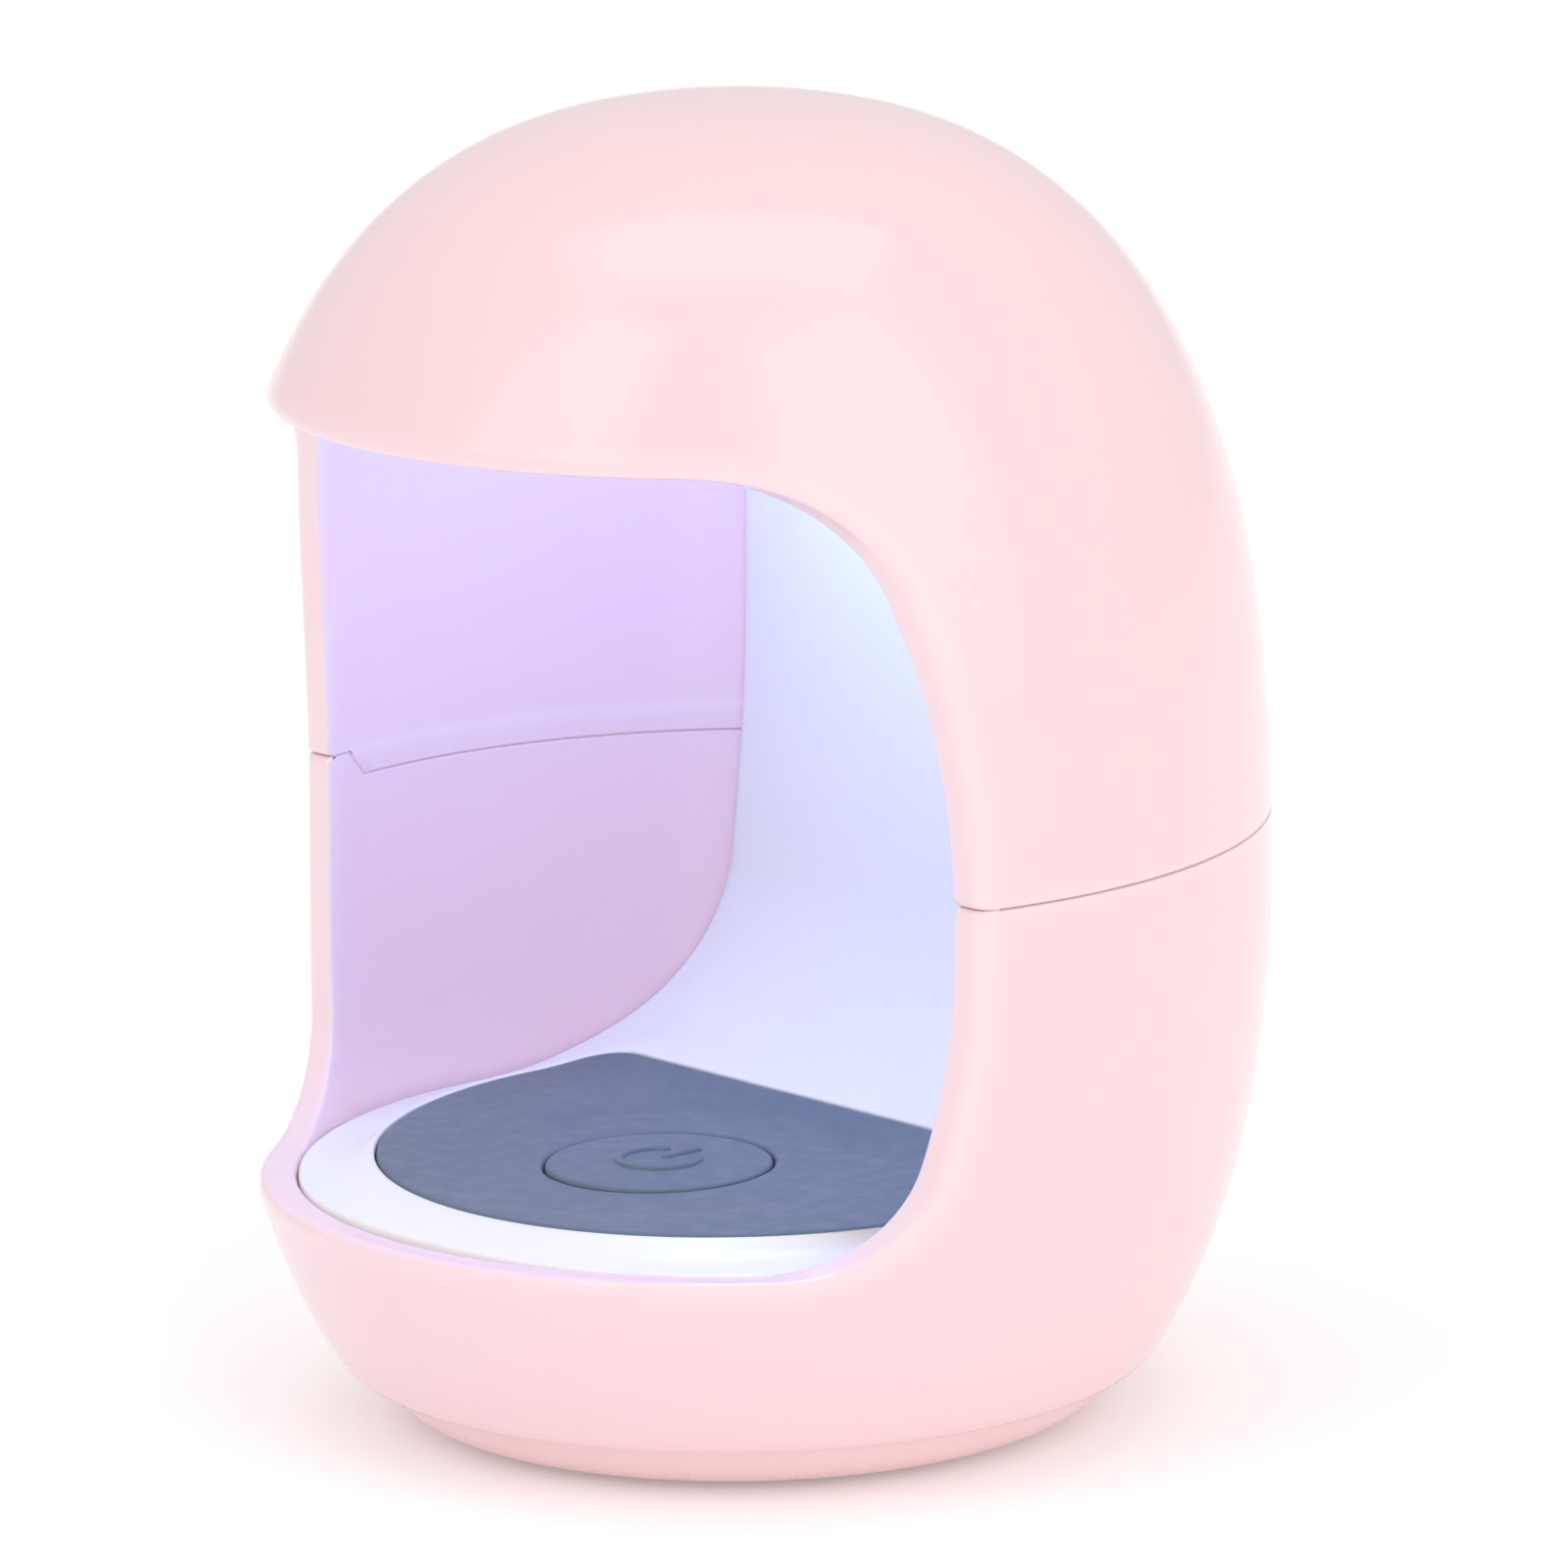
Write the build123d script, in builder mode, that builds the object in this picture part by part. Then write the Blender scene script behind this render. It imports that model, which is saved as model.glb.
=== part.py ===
from build123d import *
import math
import os

# Mini UV LED nail lamp: an egg-shaped desk lamp that cures the varnish of one fingertip.
# Millimetres. The lamp stands on Z = 0, its axis is Z, and its opening faces -Y.

os.makedirs("parts", exist_ok=True)

# ---------------------------------------------------------------- driving dimensions

# egg-shaped housing
LAMP_HEIGHT = 70.0
SHELL_BOTTOM = 3.05          # seam between the lower shell and the bottom cover
PARTING_Z = 32.3             # seam between the two shells, on the outside
WALL = 2.0
WIDEST_RADIUS = 27.95
WIDEST_Z = 29.4
DOME_RISE_POWER = 2.65       # how squarely the dome turns over, along Z
DOME_WIDTH_POWER = 2.5       # and across
BOWL_DEPTH = 34.5            # depth at which the lower half would close
BOWL_RISE_POWER = 2.0
BOWL_WIDTH_POWER = 3.3
DOME_STEPS = 14              # points on the upper half of the outline
BOWL_STEPS = 7               # points on the lower half
SEAM_SIDE = (1, 1, 0)        # the side of the egg where its outline is drawn
OUTLINE_STEPS = 16           # points that carry the outline of the inner faces
FIT_GAP = 0.2                # between the shells and what is fitted inside them
WIDE = 40.0                  # half length of a cutter that passes right through

# lap joint of the shells
TONGUE = 1.0                 # thickness of the tongue under the upper shell
TONGUE_DROP = 1.5            # how far the tongue hangs below the seam
TONGUE_SETBACK = 1.3         # the tongue stops short of the opening's edge
LAP_GAP = 0.05

# opening for the finger, seen from the side: distance along Y, height
LIP_TOP = 54.6
LIP_LOW = 13.2
OPENING_DEEPEST = (-7.5, 31.6)
OPENING_TOP_Y = -11.6        # where the side edge would meet the upper lip's plane
OPENING_LOW_Y = -10.1        # where it would meet the lower lip's plane
OPENING_TOP_ROUND = 8.5
OPENING_LOW_ROUND = 6.8

# white tray: a level floor that curves up into the back wall, seen from the side
TRAY_THICK = 1.2
TRAY_BEND_Y = 1.5            # the floor is level in front of this
TRAY_TOP = 54.7
TRAY_WALL = [                # ends of the three arcs that lead up the back wall
    (TRAY_BEND_Y, LIP_LOW),
    (10.0, 15.2),
    (16.4, 24.2),
    (15.2, TRAY_TOP),
]
TRAY_UNDER = LIP_LOW - TRAY_THICK
STRIP_FRONT = -WIDEST_RADIUS - 1     # the tray's side view starts just in front of the egg
LEDGE_WIDTH = 1.5            # ledge of the lower shell that carries the floor
LEDGE_HEIGHT = 1.2

# silicone pad and its press button
PAD_RADIUS = 19.8
PAD_THICK = 1.2
PAD_REAR = 6.8               # the pad's straight rear edge
PAD_CORNER = 3.0
FRONT_FALL = 0.032           # slope of the pad and its surround, down to the front
SURROUND_GAP = 0.1           # between the pad and the tray's raised surround
SURROUND_SET = 0.1           # how far the surround lies below the pad's face
SURROUND_FALL = [            # radius and height of the surround where it falls to the wall
    (20.3, 14.15),
    (26.9, 13.25),
]
SURROUND_REAR = [            # distance along Y and height where it runs out up the wall
    (7.9, 15.3),
    (11.2, 15.8),
]
BUTTON_Y = -6.05
BUTTON_RADIUS = 6.0
BUTTON_TOP = 14.35
BUTTON_LOW = 13.3
BUTTON_EDGE = 0.25
PAD_HOLE = 6.12
TRAY_HOLE = 6.3
PLUNGER_RADIUS = 5.8
PLUNGER_FLANGE = 6.9
FLANGE_TOP_Z = TRAY_UNDER - 0.1
FLANGE_LOW_Z = 10.9
PLUNGER_STEM = 2.2

# bottom cover and anti-slip pad
COVER_LOW = 0.3
COVER_RING_R = 16.2
COVER_ROUND = 3.9            # rounding of the plinth's lower edge
RING_TOP = 4.4
RING_INNER_R = 15.0
COVER_FLOOR_TOP = 2.5
FOOT_RADIUS = 15.0
FOOT_THICK = 0.9
FLANGE_TOP = 4.6             # inner flange of the lower shell
FLANGE_HOLE = 16.4

# control board and what is soldered to it
BOARD_LOW = 5.0
BOARD_THICK = 1.2
BOARD_TOP = BOARD_LOW + BOARD_THICK
BOARD_RADIUS = 18.0
BOARD_TAB = (10.0, 19.8)     # width and reach of the tab under the socket
SWITCH_SIZE = 6.0
SWITCH_FRAME_TOP = 9.3
SWITCH_FRAME = 0.3
SWITCH_BORE = 1.85
STEM_RADIUS = 1.7
STEM_LOW = 7.6
STEM_TOP = 10.3
DOME_LOW = 6.7

# inlet at the back
SOCKET_WIDTH = 7.6
SOCKET_HEIGHT = 2.7
SOCKET_SHEET = 0.3
SOCKET_REAR = 17.0
SOCKET_MOUTH = 22.8
SOCKET_Z = BOARD_TOP + SOCKET_HEIGHT / 2
RECESS_SIZE = (11.6, 7.0)    # shallow recess for the plug's grip
RECESS_Y = 22.9
INLET_PAD = (14.0, 12.2)     # width of the thicker wall behind the recess, and its top
INLET_PAD_Y = 21.4           # how far in it reaches

# screws: shared by the base, the board and the lamp head
SCREW_RADIUS = 0.97
PILOT_RADIUS = 1.0
HEAD_RADIUS = 1.8
HEAD_HEIGHT = 1.05
SCREW_CIRCLE = 12.6
BASE_ANGLES = (90, 210, 330)
BOARD_ANGLES = (30, 150)
POST_RADIUS = 2.3
BASE_SCREW_LENGTH = 6.0
BOARD_SCREW_LENGTH = 5.0

# lamp head under the dome
CEILING_LOW = 55.0
CEILING_THICK = 1.2
LED_BOARD_LOW = 57.2
LED_BOARD_THICK = 1.2
LED_BOARD_RADIUS = 15.5
LED_CIRCLE = 6.5
LED_ANGLES = (270, 30, 150)
LED_SIZE = 3.5
LED_BASE = 0.8
LED_LENS = 1.5
LAMP_SCREW_CIRCLE = 11.0
LAMP_SCREW_ANGLES = (90, 210, 330)
LAMP_SCREW_LENGTH = 7.0
LED_HOLE = 2.6
LED_HOLE_FLARE = 1.0
WIRE_NOTCH = (5.0, 6.0)      # in the ceiling's rear edge
WIRE_NOTCH_Y = 19.4

# wires from the board to the lamp head
WIRE_RADIUS = 0.6
WIRE_X = (-8.1, -5.9)
PLUG_Y = 12.6
PLUG_TOP = 11.0
WIRE_ROUTE = [               # distance along Y, height
    (PLUG_Y, PLUG_TOP),
    (PLUG_Y, 13.0),
    (19.6, 17.5),
    (21.6, 26.0),
    (22.0, 34.0),
    (21.4, 44.0),
    (19.2, 53.5),
    (15.4, 60.2),
    (10.5, 60.6),
    (10.5, LED_BOARD_LOW + LED_BOARD_THICK),
]


# ---------------------------------------------------------------- shared outlines

def inset_points(curve, inset):
    """Points along a curve, each moved to the curve's left by inset."""
    points = []
    for step in range(OUTLINE_STEPS + 1):
        place = curve.position_at(step / OUTLINE_STEPS)
        heading = curve.tangent_at(step / OUTLINE_STEPS)
        points.append((place.X - inset * heading.Y, place.Y + inset * heading.X))
    return points


def egg_outline():
    """The egg's half outline as radius and height, from the bottom seam to the crown."""
    points = []
    for step in range(BOWL_STEPS):
        height = SHELL_BOTTOM + (WIDEST_Z - SHELL_BOTTOM) * step / BOWL_STEPS
        depth = (WIDEST_Z - height) / BOWL_DEPTH
        radius = WIDEST_RADIUS * (1 - depth**BOWL_RISE_POWER) ** (1 / BOWL_WIDTH_POWER)
        points.append((radius, height))
    for step in range(DOME_STEPS):
        angle = math.pi / 2 * step / DOME_STEPS
        radius = WIDEST_RADIUS * math.cos(angle) ** (2 / DOME_WIDTH_POWER)
        rise = (LAMP_HEIGHT - WIDEST_Z) * math.sin(angle) ** (2 / DOME_RISE_POWER)
        points.append((radius, WIDEST_Z + rise))
    points.append((0, LAMP_HEIGHT))
    return Spline(*points, mode=Mode.PRIVATE)


def egg_section(inset, low, high):
    """Half section of the egg, moved inwards by inset and cut between two heights."""
    outline = egg_outline()
    with BuildSketch(Plane(origin=(0, 0, 0), x_dir=SEAM_SIDE, z_dir=(1, -1, 0))) as section:
        with BuildLine():
            side = inset_points(outline, inset)[:-1]
            crown = (0, LAMP_HEIGHT - inset)
            curve = Spline(*side, crown)
            Polyline(crown, (0, side[0][1]), side[0])
        make_face()
        with Locations((WIDE / 2, (low + high) / 2)):
            Rectangle(WIDE, high - low, mode=Mode.INTERSECT)
    return section.sketch


def opening_profile(setback):
    """Side view of the space that the opening removes, widened by setback."""
    deepest_y, deepest_z = OPENING_DEEPEST
    with BuildSketch(Plane.YZ) as profile:
        with BuildLine():
            top = (OPENING_TOP_Y + setback, LIP_TOP)
            low = (OPENING_LOW_Y + setback, LIP_LOW)
            ThreePointArc(top, (deepest_y + setback, deepest_z), low)
            Polyline(low, (-WIDE, LIP_LOW), (-WIDE, LIP_TOP), top)
        make_face()
        low_corner = profile.vertices().sort_by_distance(low)[0]
        fillet(low_corner, radius=OPENING_LOW_ROUND)
        top_corner = profile.vertices().sort_by_distance(top)[0]
        fillet(top_corner, radius=OPENING_TOP_ROUND)
    return profile.sketch


def tray_curve(lift):
    """The tray's upper face seen from the side, raised by lift along its own normal."""
    with BuildLine(mode=Mode.PRIVATE) as wall:
        first = TangentArc(TRAY_WALL[0], TRAY_WALL[1], tangent=(1, 0))
        second = TangentArc(TRAY_WALL[1], TRAY_WALL[2], tangent=first % 1)
        TangentArc(TRAY_WALL[2], TRAY_WALL[3], tangent=second % 1)
    return Spline(*inset_points(wall.wires()[0], lift), tangents=[(1, 0), (-0.12, 1)])


def tray_strip(low_lift, high_lift, front_fall=0):
    """Side view of a sheet that follows the tray between two distances from its face."""
    with BuildSketch(Plane.YZ) as strip:
        with BuildLine():
            under = tray_curve(low_lift)
            over = tray_curve(high_lift)
            Line(under @ 1, over @ 1)
            front_over = (STRIP_FRONT, (over @ 0).Y - front_fall * (TRAY_BEND_Y - STRIP_FRONT))
            front_under = (STRIP_FRONT, (under @ 0).Y)
            Polyline(over @ 0, front_over, front_under, under @ 0)
        make_face()
    return strip.sketch


def finger_space():
    """Side view of everything above and in front of the tray."""
    with BuildSketch(Plane.YZ) as space:
        with BuildLine():
            face = tray_curve(0)
            Polyline(face @ 1, (WIDE, TRAY_TOP), (WIDE, 2 * WIDE), (-WIDE, 2 * WIDE),
                     (-WIDE, LIP_LOW), face @ 0)
        make_face()
    return space.sketch


def on_circle(radius, angles):
    """Places on a circle about the lamp's axis."""
    return [(radius * math.cos(math.radians(a)), radius * math.sin(math.radians(a)))
            for a in angles]


def screw(low, length):
    """A pan head screw that stands with its head's top at low."""
    with BuildPart(mode=Mode.PRIVATE) as body:
        with BuildSketch(Plane.XY.offset(low)):
            Circle(HEAD_RADIUS)
        extrude(amount=HEAD_HEIGHT)
        rim = body.faces().sort_by(Axis.Z)[0].edges()
        fillet(rim, radius=0.4)
        with BuildSketch(Plane.XY.offset(low)):
            SlotOverall(2.2, 0.5)
            SlotOverall(2.2, 0.5, rotation=90)
        extrude(amount=0.5, mode=Mode.SUBTRACT)
        with BuildSketch(Plane.XY.offset(low + HEAD_HEIGHT)):
            Circle(SCREW_RADIUS)
        extrude(amount=length)
        chamfer(body.faces().sort_by(Axis.Z)[-1].edges(), length=0.3)
    return body.part


# ---------------------------------------------------------------- housing

# tongue of the lap joint: a band inside the wall, shared by both shells
with BuildPart() as lap_band:
    revolve(egg_section(WALL - TONGUE, PARTING_Z - TONGUE_DROP, PARTING_Z + TONGUE), axis=Axis.Z)
    revolve(egg_section(WALL, SHELL_BOTTOM + WALL, PARTING_Z + 2 * TONGUE), axis=Axis.Z,
            mode=Mode.SUBTRACT)
    extrude(opening_profile(TONGUE_SETBACK), amount=WIDE, both=True, mode=Mode.SUBTRACT)

with BuildPart() as lap_groove:
    revolve(egg_section(WALL - TONGUE - LAP_GAP, PARTING_Z - TONGUE_DROP - LAP_GAP, PARTING_Z),
            axis=Axis.Z)
    revolve(egg_section(WALL + LAP_GAP, SHELL_BOTTOM + WALL, PARTING_Z + TONGUE), axis=Axis.Z,
            mode=Mode.SUBTRACT)
    extrude(opening_profile(TONGUE_SETBACK - LAP_GAP), amount=WIDE, both=True, mode=Mode.SUBTRACT)

# posts in the dome that take the lamp head's screws
with BuildPart() as dome_posts:
    revolve(egg_section(WALL / 2, PARTING_Z, LAMP_HEIGHT), axis=Axis.Z)
    with BuildSketch(Plane.XY.offset(LED_BOARD_LOW + LED_BOARD_THICK)):
        with Locations(*on_circle(LAMP_SCREW_CIRCLE, LAMP_SCREW_ANGLES)):
            Circle(POST_RADIUS)
    extrude(amount=LAMP_HEIGHT, mode=Mode.INTERSECT)

with BuildPart() as upper_shell:
    revolve(egg_section(0, PARTING_Z, LAMP_HEIGHT), axis=Axis.Z)
    revolve(egg_section(WALL, PARTING_Z - WALL, LAMP_HEIGHT), axis=Axis.Z, mode=Mode.SUBTRACT)
    extrude(opening_profile(0), amount=WIDE, both=True, mode=Mode.SUBTRACT)
    add(lap_band.part)
    add(dome_posts.part)
    with BuildSketch(Plane.XY.offset(LED_BOARD_LOW)):
        with Locations(*on_circle(LAMP_SCREW_CIRCLE, LAMP_SCREW_ANGLES)):
            Circle(PILOT_RADIUS)
    extrude(amount=LAMP_SCREW_LENGTH - LED_BOARD_LOW + CEILING_LOW + 0.3, mode=Mode.SUBTRACT)

upper_shell.part.label = "upper_shell"
export_step(upper_shell.part, "parts/upper_shell.step")

# ledge inside the lower shell, under the level part of the tray
with BuildPart() as ledge:
    revolve(egg_section(WALL / 2, TRAY_UNDER - LEDGE_HEIGHT, TRAY_UNDER), axis=Axis.Z)
    revolve(egg_section(WALL + LEDGE_WIDTH, SHELL_BOTTOM + 2 * WALL, TRAY_UNDER + WALL),
            axis=Axis.Z, mode=Mode.SUBTRACT)
    with BuildSketch(Plane.YZ):
        with Locations((TRAY_BEND_Y - 2 + WIDE / 2, TRAY_UNDER)):
            Rectangle(WIDE, WIDE)
    extrude(amount=WIDE, both=True, mode=Mode.SUBTRACT)

# thicker wall behind the inlet's recess, so that the recess doesn't break through
with BuildPart() as inlet_pad:
    revolve(egg_section(WALL / 2, FLANGE_TOP - WALL / 2, INLET_PAD[1]), axis=Axis.Z)
    with BuildSketch(Plane.XZ.offset(-INLET_PAD_Y)):
        Rectangle(INLET_PAD[0], WIDE)
    extrude(amount=-WALL * 3, mode=Mode.INTERSECT)

with BuildPart() as lower_shell:
    revolve(egg_section(0, SHELL_BOTTOM, PARTING_Z), axis=Axis.Z)
    revolve(egg_section(WALL, FLANGE_TOP, PARTING_Z + WALL), axis=Axis.Z, mode=Mode.SUBTRACT)
    with BuildSketch(Plane.XY.offset(SHELL_BOTTOM)):
        Circle(FLANGE_HOLE)
    extrude(amount=FLANGE_TOP - SHELL_BOTTOM, mode=Mode.SUBTRACT)
    extrude(opening_profile(0), amount=WIDE, both=True, mode=Mode.SUBTRACT)
    add(lap_groove.part, mode=Mode.SUBTRACT)
    add(ledge.part)
    add(inlet_pad.part)
    with BuildSketch(Plane.XZ.offset(-RECESS_Y)):
        with Locations((0, SOCKET_Z)):
            RectangleRounded(RECESS_SIZE[0], RECESS_SIZE[1], 1.6)
    extrude(amount=-WALL * 2, mode=Mode.SUBTRACT)
    with BuildSketch(Plane.XZ.offset(-SOCKET_REAR)):
        with Locations((0, SOCKET_Z)):
            RectangleRounded(SOCKET_WIDTH + 2 * FIT_GAP, SOCKET_HEIGHT + 2 * FIT_GAP, 0.8)
    extrude(amount=-WIDE / 4, mode=Mode.SUBTRACT)

lower_shell.part.label = "lower_shell"
export_step(lower_shell.part, "parts/lower_shell.step")

# bottom cover: a plinth with a rounded lower edge and a ring that centres it in the shell
with BuildPart() as bottom_cover:
    with BuildSketch(Plane.XZ):
        with BuildLine():
            rise = COVER_LOW + COVER_ROUND - SHELL_BOTTOM
            sweep_angle = 90 - math.degrees(math.asin(rise / COVER_ROUND))
            rounding = CenterArc((COVER_RING_R, COVER_LOW + COVER_ROUND), COVER_ROUND,
                                 270, sweep_angle)
            Polyline(
                rounding @ 1,
                (COVER_RING_R, SHELL_BOTTOM),
                (COVER_RING_R, RING_TOP),
                (RING_INNER_R, RING_TOP),
                (RING_INNER_R, COVER_FLOOR_TOP),
                (0, COVER_FLOOR_TOP),
                (0, FOOT_THICK),
                (FOOT_RADIUS + FIT_GAP, FOOT_THICK),
                (FOOT_RADIUS + FIT_GAP, COVER_LOW),
                rounding @ 0,
            )
        make_face()
    revolve(axis=Axis.Z)
    with BuildSketch(Plane.XY.offset(FOOT_THICK)):
        with Locations(*on_circle(SCREW_CIRCLE, BASE_ANGLES)):
            Circle(HEAD_RADIUS + 0.1)
    extrude(amount=HEAD_HEIGHT, mode=Mode.SUBTRACT)
    with BuildSketch(Plane.XY.offset(FOOT_THICK)):
        with Locations(*on_circle(SCREW_CIRCLE, BASE_ANGLES)):
            Circle(SCREW_RADIUS + 0.15)
    extrude(amount=COVER_FLOOR_TOP, mode=Mode.SUBTRACT)

bottom_cover.part.label = "bottom_cover"
export_step(bottom_cover.part, "parts/bottom_cover.step")

# anti-slip pad: stuck in the cover's recess, it hides the base screws
with BuildPart() as foot_pad:
    with BuildSketch():
        Circle(FOOT_RADIUS)
    extrude(amount=FOOT_THICK)
    fillet(foot_pad.faces().sort_by(Axis.Z)[0].edges(), radius=0.25)

foot_pad.part.label = "foot_pad"
export_step(foot_pad.part, "parts/foot_pad.step")

# ---------------------------------------------------------------- tray, pad and button

# legs under the tray: long ones for the base screws, short ones for the board
with BuildPart() as tray_legs:
    with BuildSketch(Plane.XY.offset(COVER_FLOOR_TOP)):
        with Locations(*on_circle(SCREW_CIRCLE, BASE_ANGLES)):
            Circle(POST_RADIUS)
    extrude(amount=WIDE / 2)
    with BuildSketch(Plane.XY.offset(BOARD_TOP)):
        with Locations(*on_circle(SCREW_CIRCLE, BOARD_ANGLES)):
            Circle(POST_RADIUS)
    extrude(amount=WIDE / 2)
    extrude(finger_space(), amount=WIDE, both=True, mode=Mode.SUBTRACT)

def pad_plan(grow):
    """The pad's outline from above, grown by a gap."""
    with BuildSketch(Plane.XY.offset(TRAY_UNDER)) as plan:
        Circle(PAD_RADIUS + grow)
        with Locations((0, PAD_REAR + grow + WIDE / 2)):
            Rectangle(2 * WIDE, WIDE, mode=Mode.SUBTRACT)
        fillet(plan.vertices().sort_by(Axis.Y)[-2:], radius=PAD_CORNER + grow)
    return plan.sketch


# raised surround of the tray: level with the pad, falling away to the walls
with BuildPart() as surround:
    extrude(tray_strip(0, PAD_THICK - SURROUND_SET, FRONT_FALL), amount=WIDE, both=True)
    revolve(egg_section(WALL + FIT_GAP, SHELL_BOTTOM + WALL, PARTING_Z), axis=Axis.Z,
            mode=Mode.INTERSECT)
    with BuildSketch(Plane.XZ):
        with BuildLine():
            inner, outer = SURROUND_FALL
            slope = (inner[1] - outer[1]) / (outer[0] - inner[0])
            Polyline((0, 0), (0, inner[1] + slope * inner[0]), outer, (outer[0], 0), (0, 0))
        make_face()
    revolve(axis=Axis.Z, mode=Mode.INTERSECT)
    with BuildSketch(Plane.YZ):
        with BuildLine():
            start, stop = SURROUND_REAR
            Polyline((-WIDE, 0), (-WIDE, WIDE), (start[0], WIDE), start, stop, (stop[0], 0), (-WIDE, 0))
        make_face()
    extrude(amount=WIDE, both=True, mode=Mode.INTERSECT)
    extrude(pad_plan(SURROUND_GAP), amount=WIDE / 4, mode=Mode.SUBTRACT)

with BuildPart() as tray_liner:
    extrude(tray_strip(-TRAY_THICK, 0), amount=WIDE, both=True)
    revolve(egg_section(WALL + FIT_GAP, SHELL_BOTTOM + WALL, LAMP_HEIGHT), axis=Axis.Z,
            mode=Mode.INTERSECT)
    with BuildSketch(Plane.XY.offset(TRAY_UNDER)):
        with Locations((0, BUTTON_Y)):
            Circle(TRAY_HOLE)
    extrude(amount=2 * TRAY_THICK, mode=Mode.SUBTRACT)
    add(surround.part)
    add(tray_legs.part)
    with BuildSketch(Plane.XY.offset(COVER_FLOOR_TOP)):
        with Locations(*on_circle(SCREW_CIRCLE, BASE_ANGLES)):
            Circle(PILOT_RADIUS)
    extrude(amount=BASE_SCREW_LENGTH, mode=Mode.SUBTRACT)
    with BuildSketch(Plane.XY.offset(BOARD_TOP)):
        with Locations(*on_circle(SCREW_CIRCLE, BOARD_ANGLES)):
            Circle(PILOT_RADIUS)
    extrude(amount=BOARD_SCREW_LENGTH, mode=Mode.SUBTRACT)

tray_liner.part.label = "tray_liner"
export_step(tray_liner.part, "parts/tray_liner.step")

# silicone pad: a disc with a straight rear edge that follows the tray's face
with BuildPart() as finger_pad:
    extrude(pad_plan(0), amount=WIDE / 4)
    with BuildSketch(Plane.XY.offset(TRAY_UNDER)):
        with Locations((0, BUTTON_Y)):
            Circle(PAD_HOLE)
    extrude(amount=WIDE / 4, mode=Mode.SUBTRACT)
    extrude(tray_strip(0, PAD_THICK, FRONT_FALL), amount=WIDE, both=True, mode=Mode.INTERSECT)

finger_pad.part.label = "finger_pad"
export_step(finger_pad.part, "parts/finger_pad.step")

# press button: the round silicone key in the middle of the pad
with BuildPart() as press_button:
    with BuildSketch(Plane.XY.offset(BUTTON_LOW)):
        with Locations((0, BUTTON_Y)):
            Circle(BUTTON_RADIUS)
    extrude(amount=BUTTON_TOP - BUTTON_LOW)
    fillet(press_button.faces().sort_by(Axis.Z)[-1].edges(), radius=BUTTON_EDGE)

press_button.part.label = "press_button"
export_step(press_button.part, "parts/press_button.step")

# plunger: carries the button, is stopped under the tray and pushes the switch
with BuildPart() as button_plunger:
    with BuildSketch(Plane.XY.offset(FLANGE_LOW_Z)):
        with Locations((0, BUTTON_Y)):
            Circle(PLUNGER_RADIUS)
    extrude(amount=BUTTON_LOW - FLANGE_LOW_Z)
    with BuildSketch(Plane.XY.offset(FLANGE_LOW_Z)):
        with Locations((0, BUTTON_Y)):
            Circle(PLUNGER_FLANGE)
    extrude(amount=FLANGE_TOP_Z - FLANGE_LOW_Z)
    with BuildSketch(Plane.XY.offset(STEM_TOP)):
        with Locations((0, BUTTON_Y)):
            Circle(PLUNGER_STEM)
    extrude(amount=FLANGE_LOW_Z - STEM_TOP)

button_plunger.part.label = "button_plunger"
export_step(button_plunger.part, "parts/button_plunger.step")

# ---------------------------------------------------------------- push switch

with BuildPart() as switch_body:
    with BuildSketch(Plane.XY.offset(BOARD_TOP)):
        with Locations((0, BUTTON_Y)):
            RectangleRounded(SWITCH_SIZE, SWITCH_SIZE, 0.4)
    extrude(amount=SWITCH_FRAME_TOP - SWITCH_FRAME - BOARD_TOP)
    with BuildSketch(Plane.XY.offset(DOME_LOW)):
        with Locations((0, BUTTON_Y)):
            Circle(SWITCH_BORE)
    extrude(amount=SWITCH_FRAME_TOP - DOME_LOW, mode=Mode.SUBTRACT)

switch_body.part.label = "switch_body"
export_step(switch_body.part, "parts/switch_body.step")

with BuildPart() as switch_frame:
    with BuildSketch(Plane.XY.offset(SWITCH_FRAME_TOP - SWITCH_FRAME)):
        with Locations((0, BUTTON_Y)):
            RectangleRounded(SWITCH_SIZE, SWITCH_SIZE, 0.4)
            Circle(SWITCH_BORE, mode=Mode.SUBTRACT)
    extrude(amount=SWITCH_FRAME)

switch_frame.part.label = "switch_frame"
export_step(switch_frame.part, "parts/switch_frame.step")

with BuildPart() as switch_stem:
    with BuildSketch(Plane.XY.offset(STEM_LOW)):
        with Locations((0, BUTTON_Y)):
            Circle(STEM_RADIUS)
    extrude(amount=STEM_TOP - STEM_LOW)

switch_stem.part.label = "switch_stem"
export_step(switch_stem.part, "parts/switch_stem.step")

# snap dome: the thin sheet metal spring under the stem
with BuildPart() as switch_dome:
    with BuildSketch(Plane.XZ.offset(-BUTTON_Y)):
        with BuildLine():
            rise = STEM_LOW - DOME_LOW
            over = ThreePointArc((0, STEM_LOW), (0.9, STEM_LOW - 0.25 * rise), (1.7, DOME_LOW))
            under = ThreePointArc((0, STEM_LOW - 0.12), (0.85, STEM_LOW - 0.25 * rise - 0.13),
                                  (1.5, DOME_LOW))
            Line(over @ 0, under @ 0)
            Line(over @ 1, under @ 1)
        make_face()
    revolve(axis=Axis((0, BUTTON_Y, 0), (0, 0, 1)))

switch_dome.part.label = "switch_dome"
export_step(switch_dome.part, "parts/switch_dome.step")

# ---------------------------------------------------------------- control board

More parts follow.
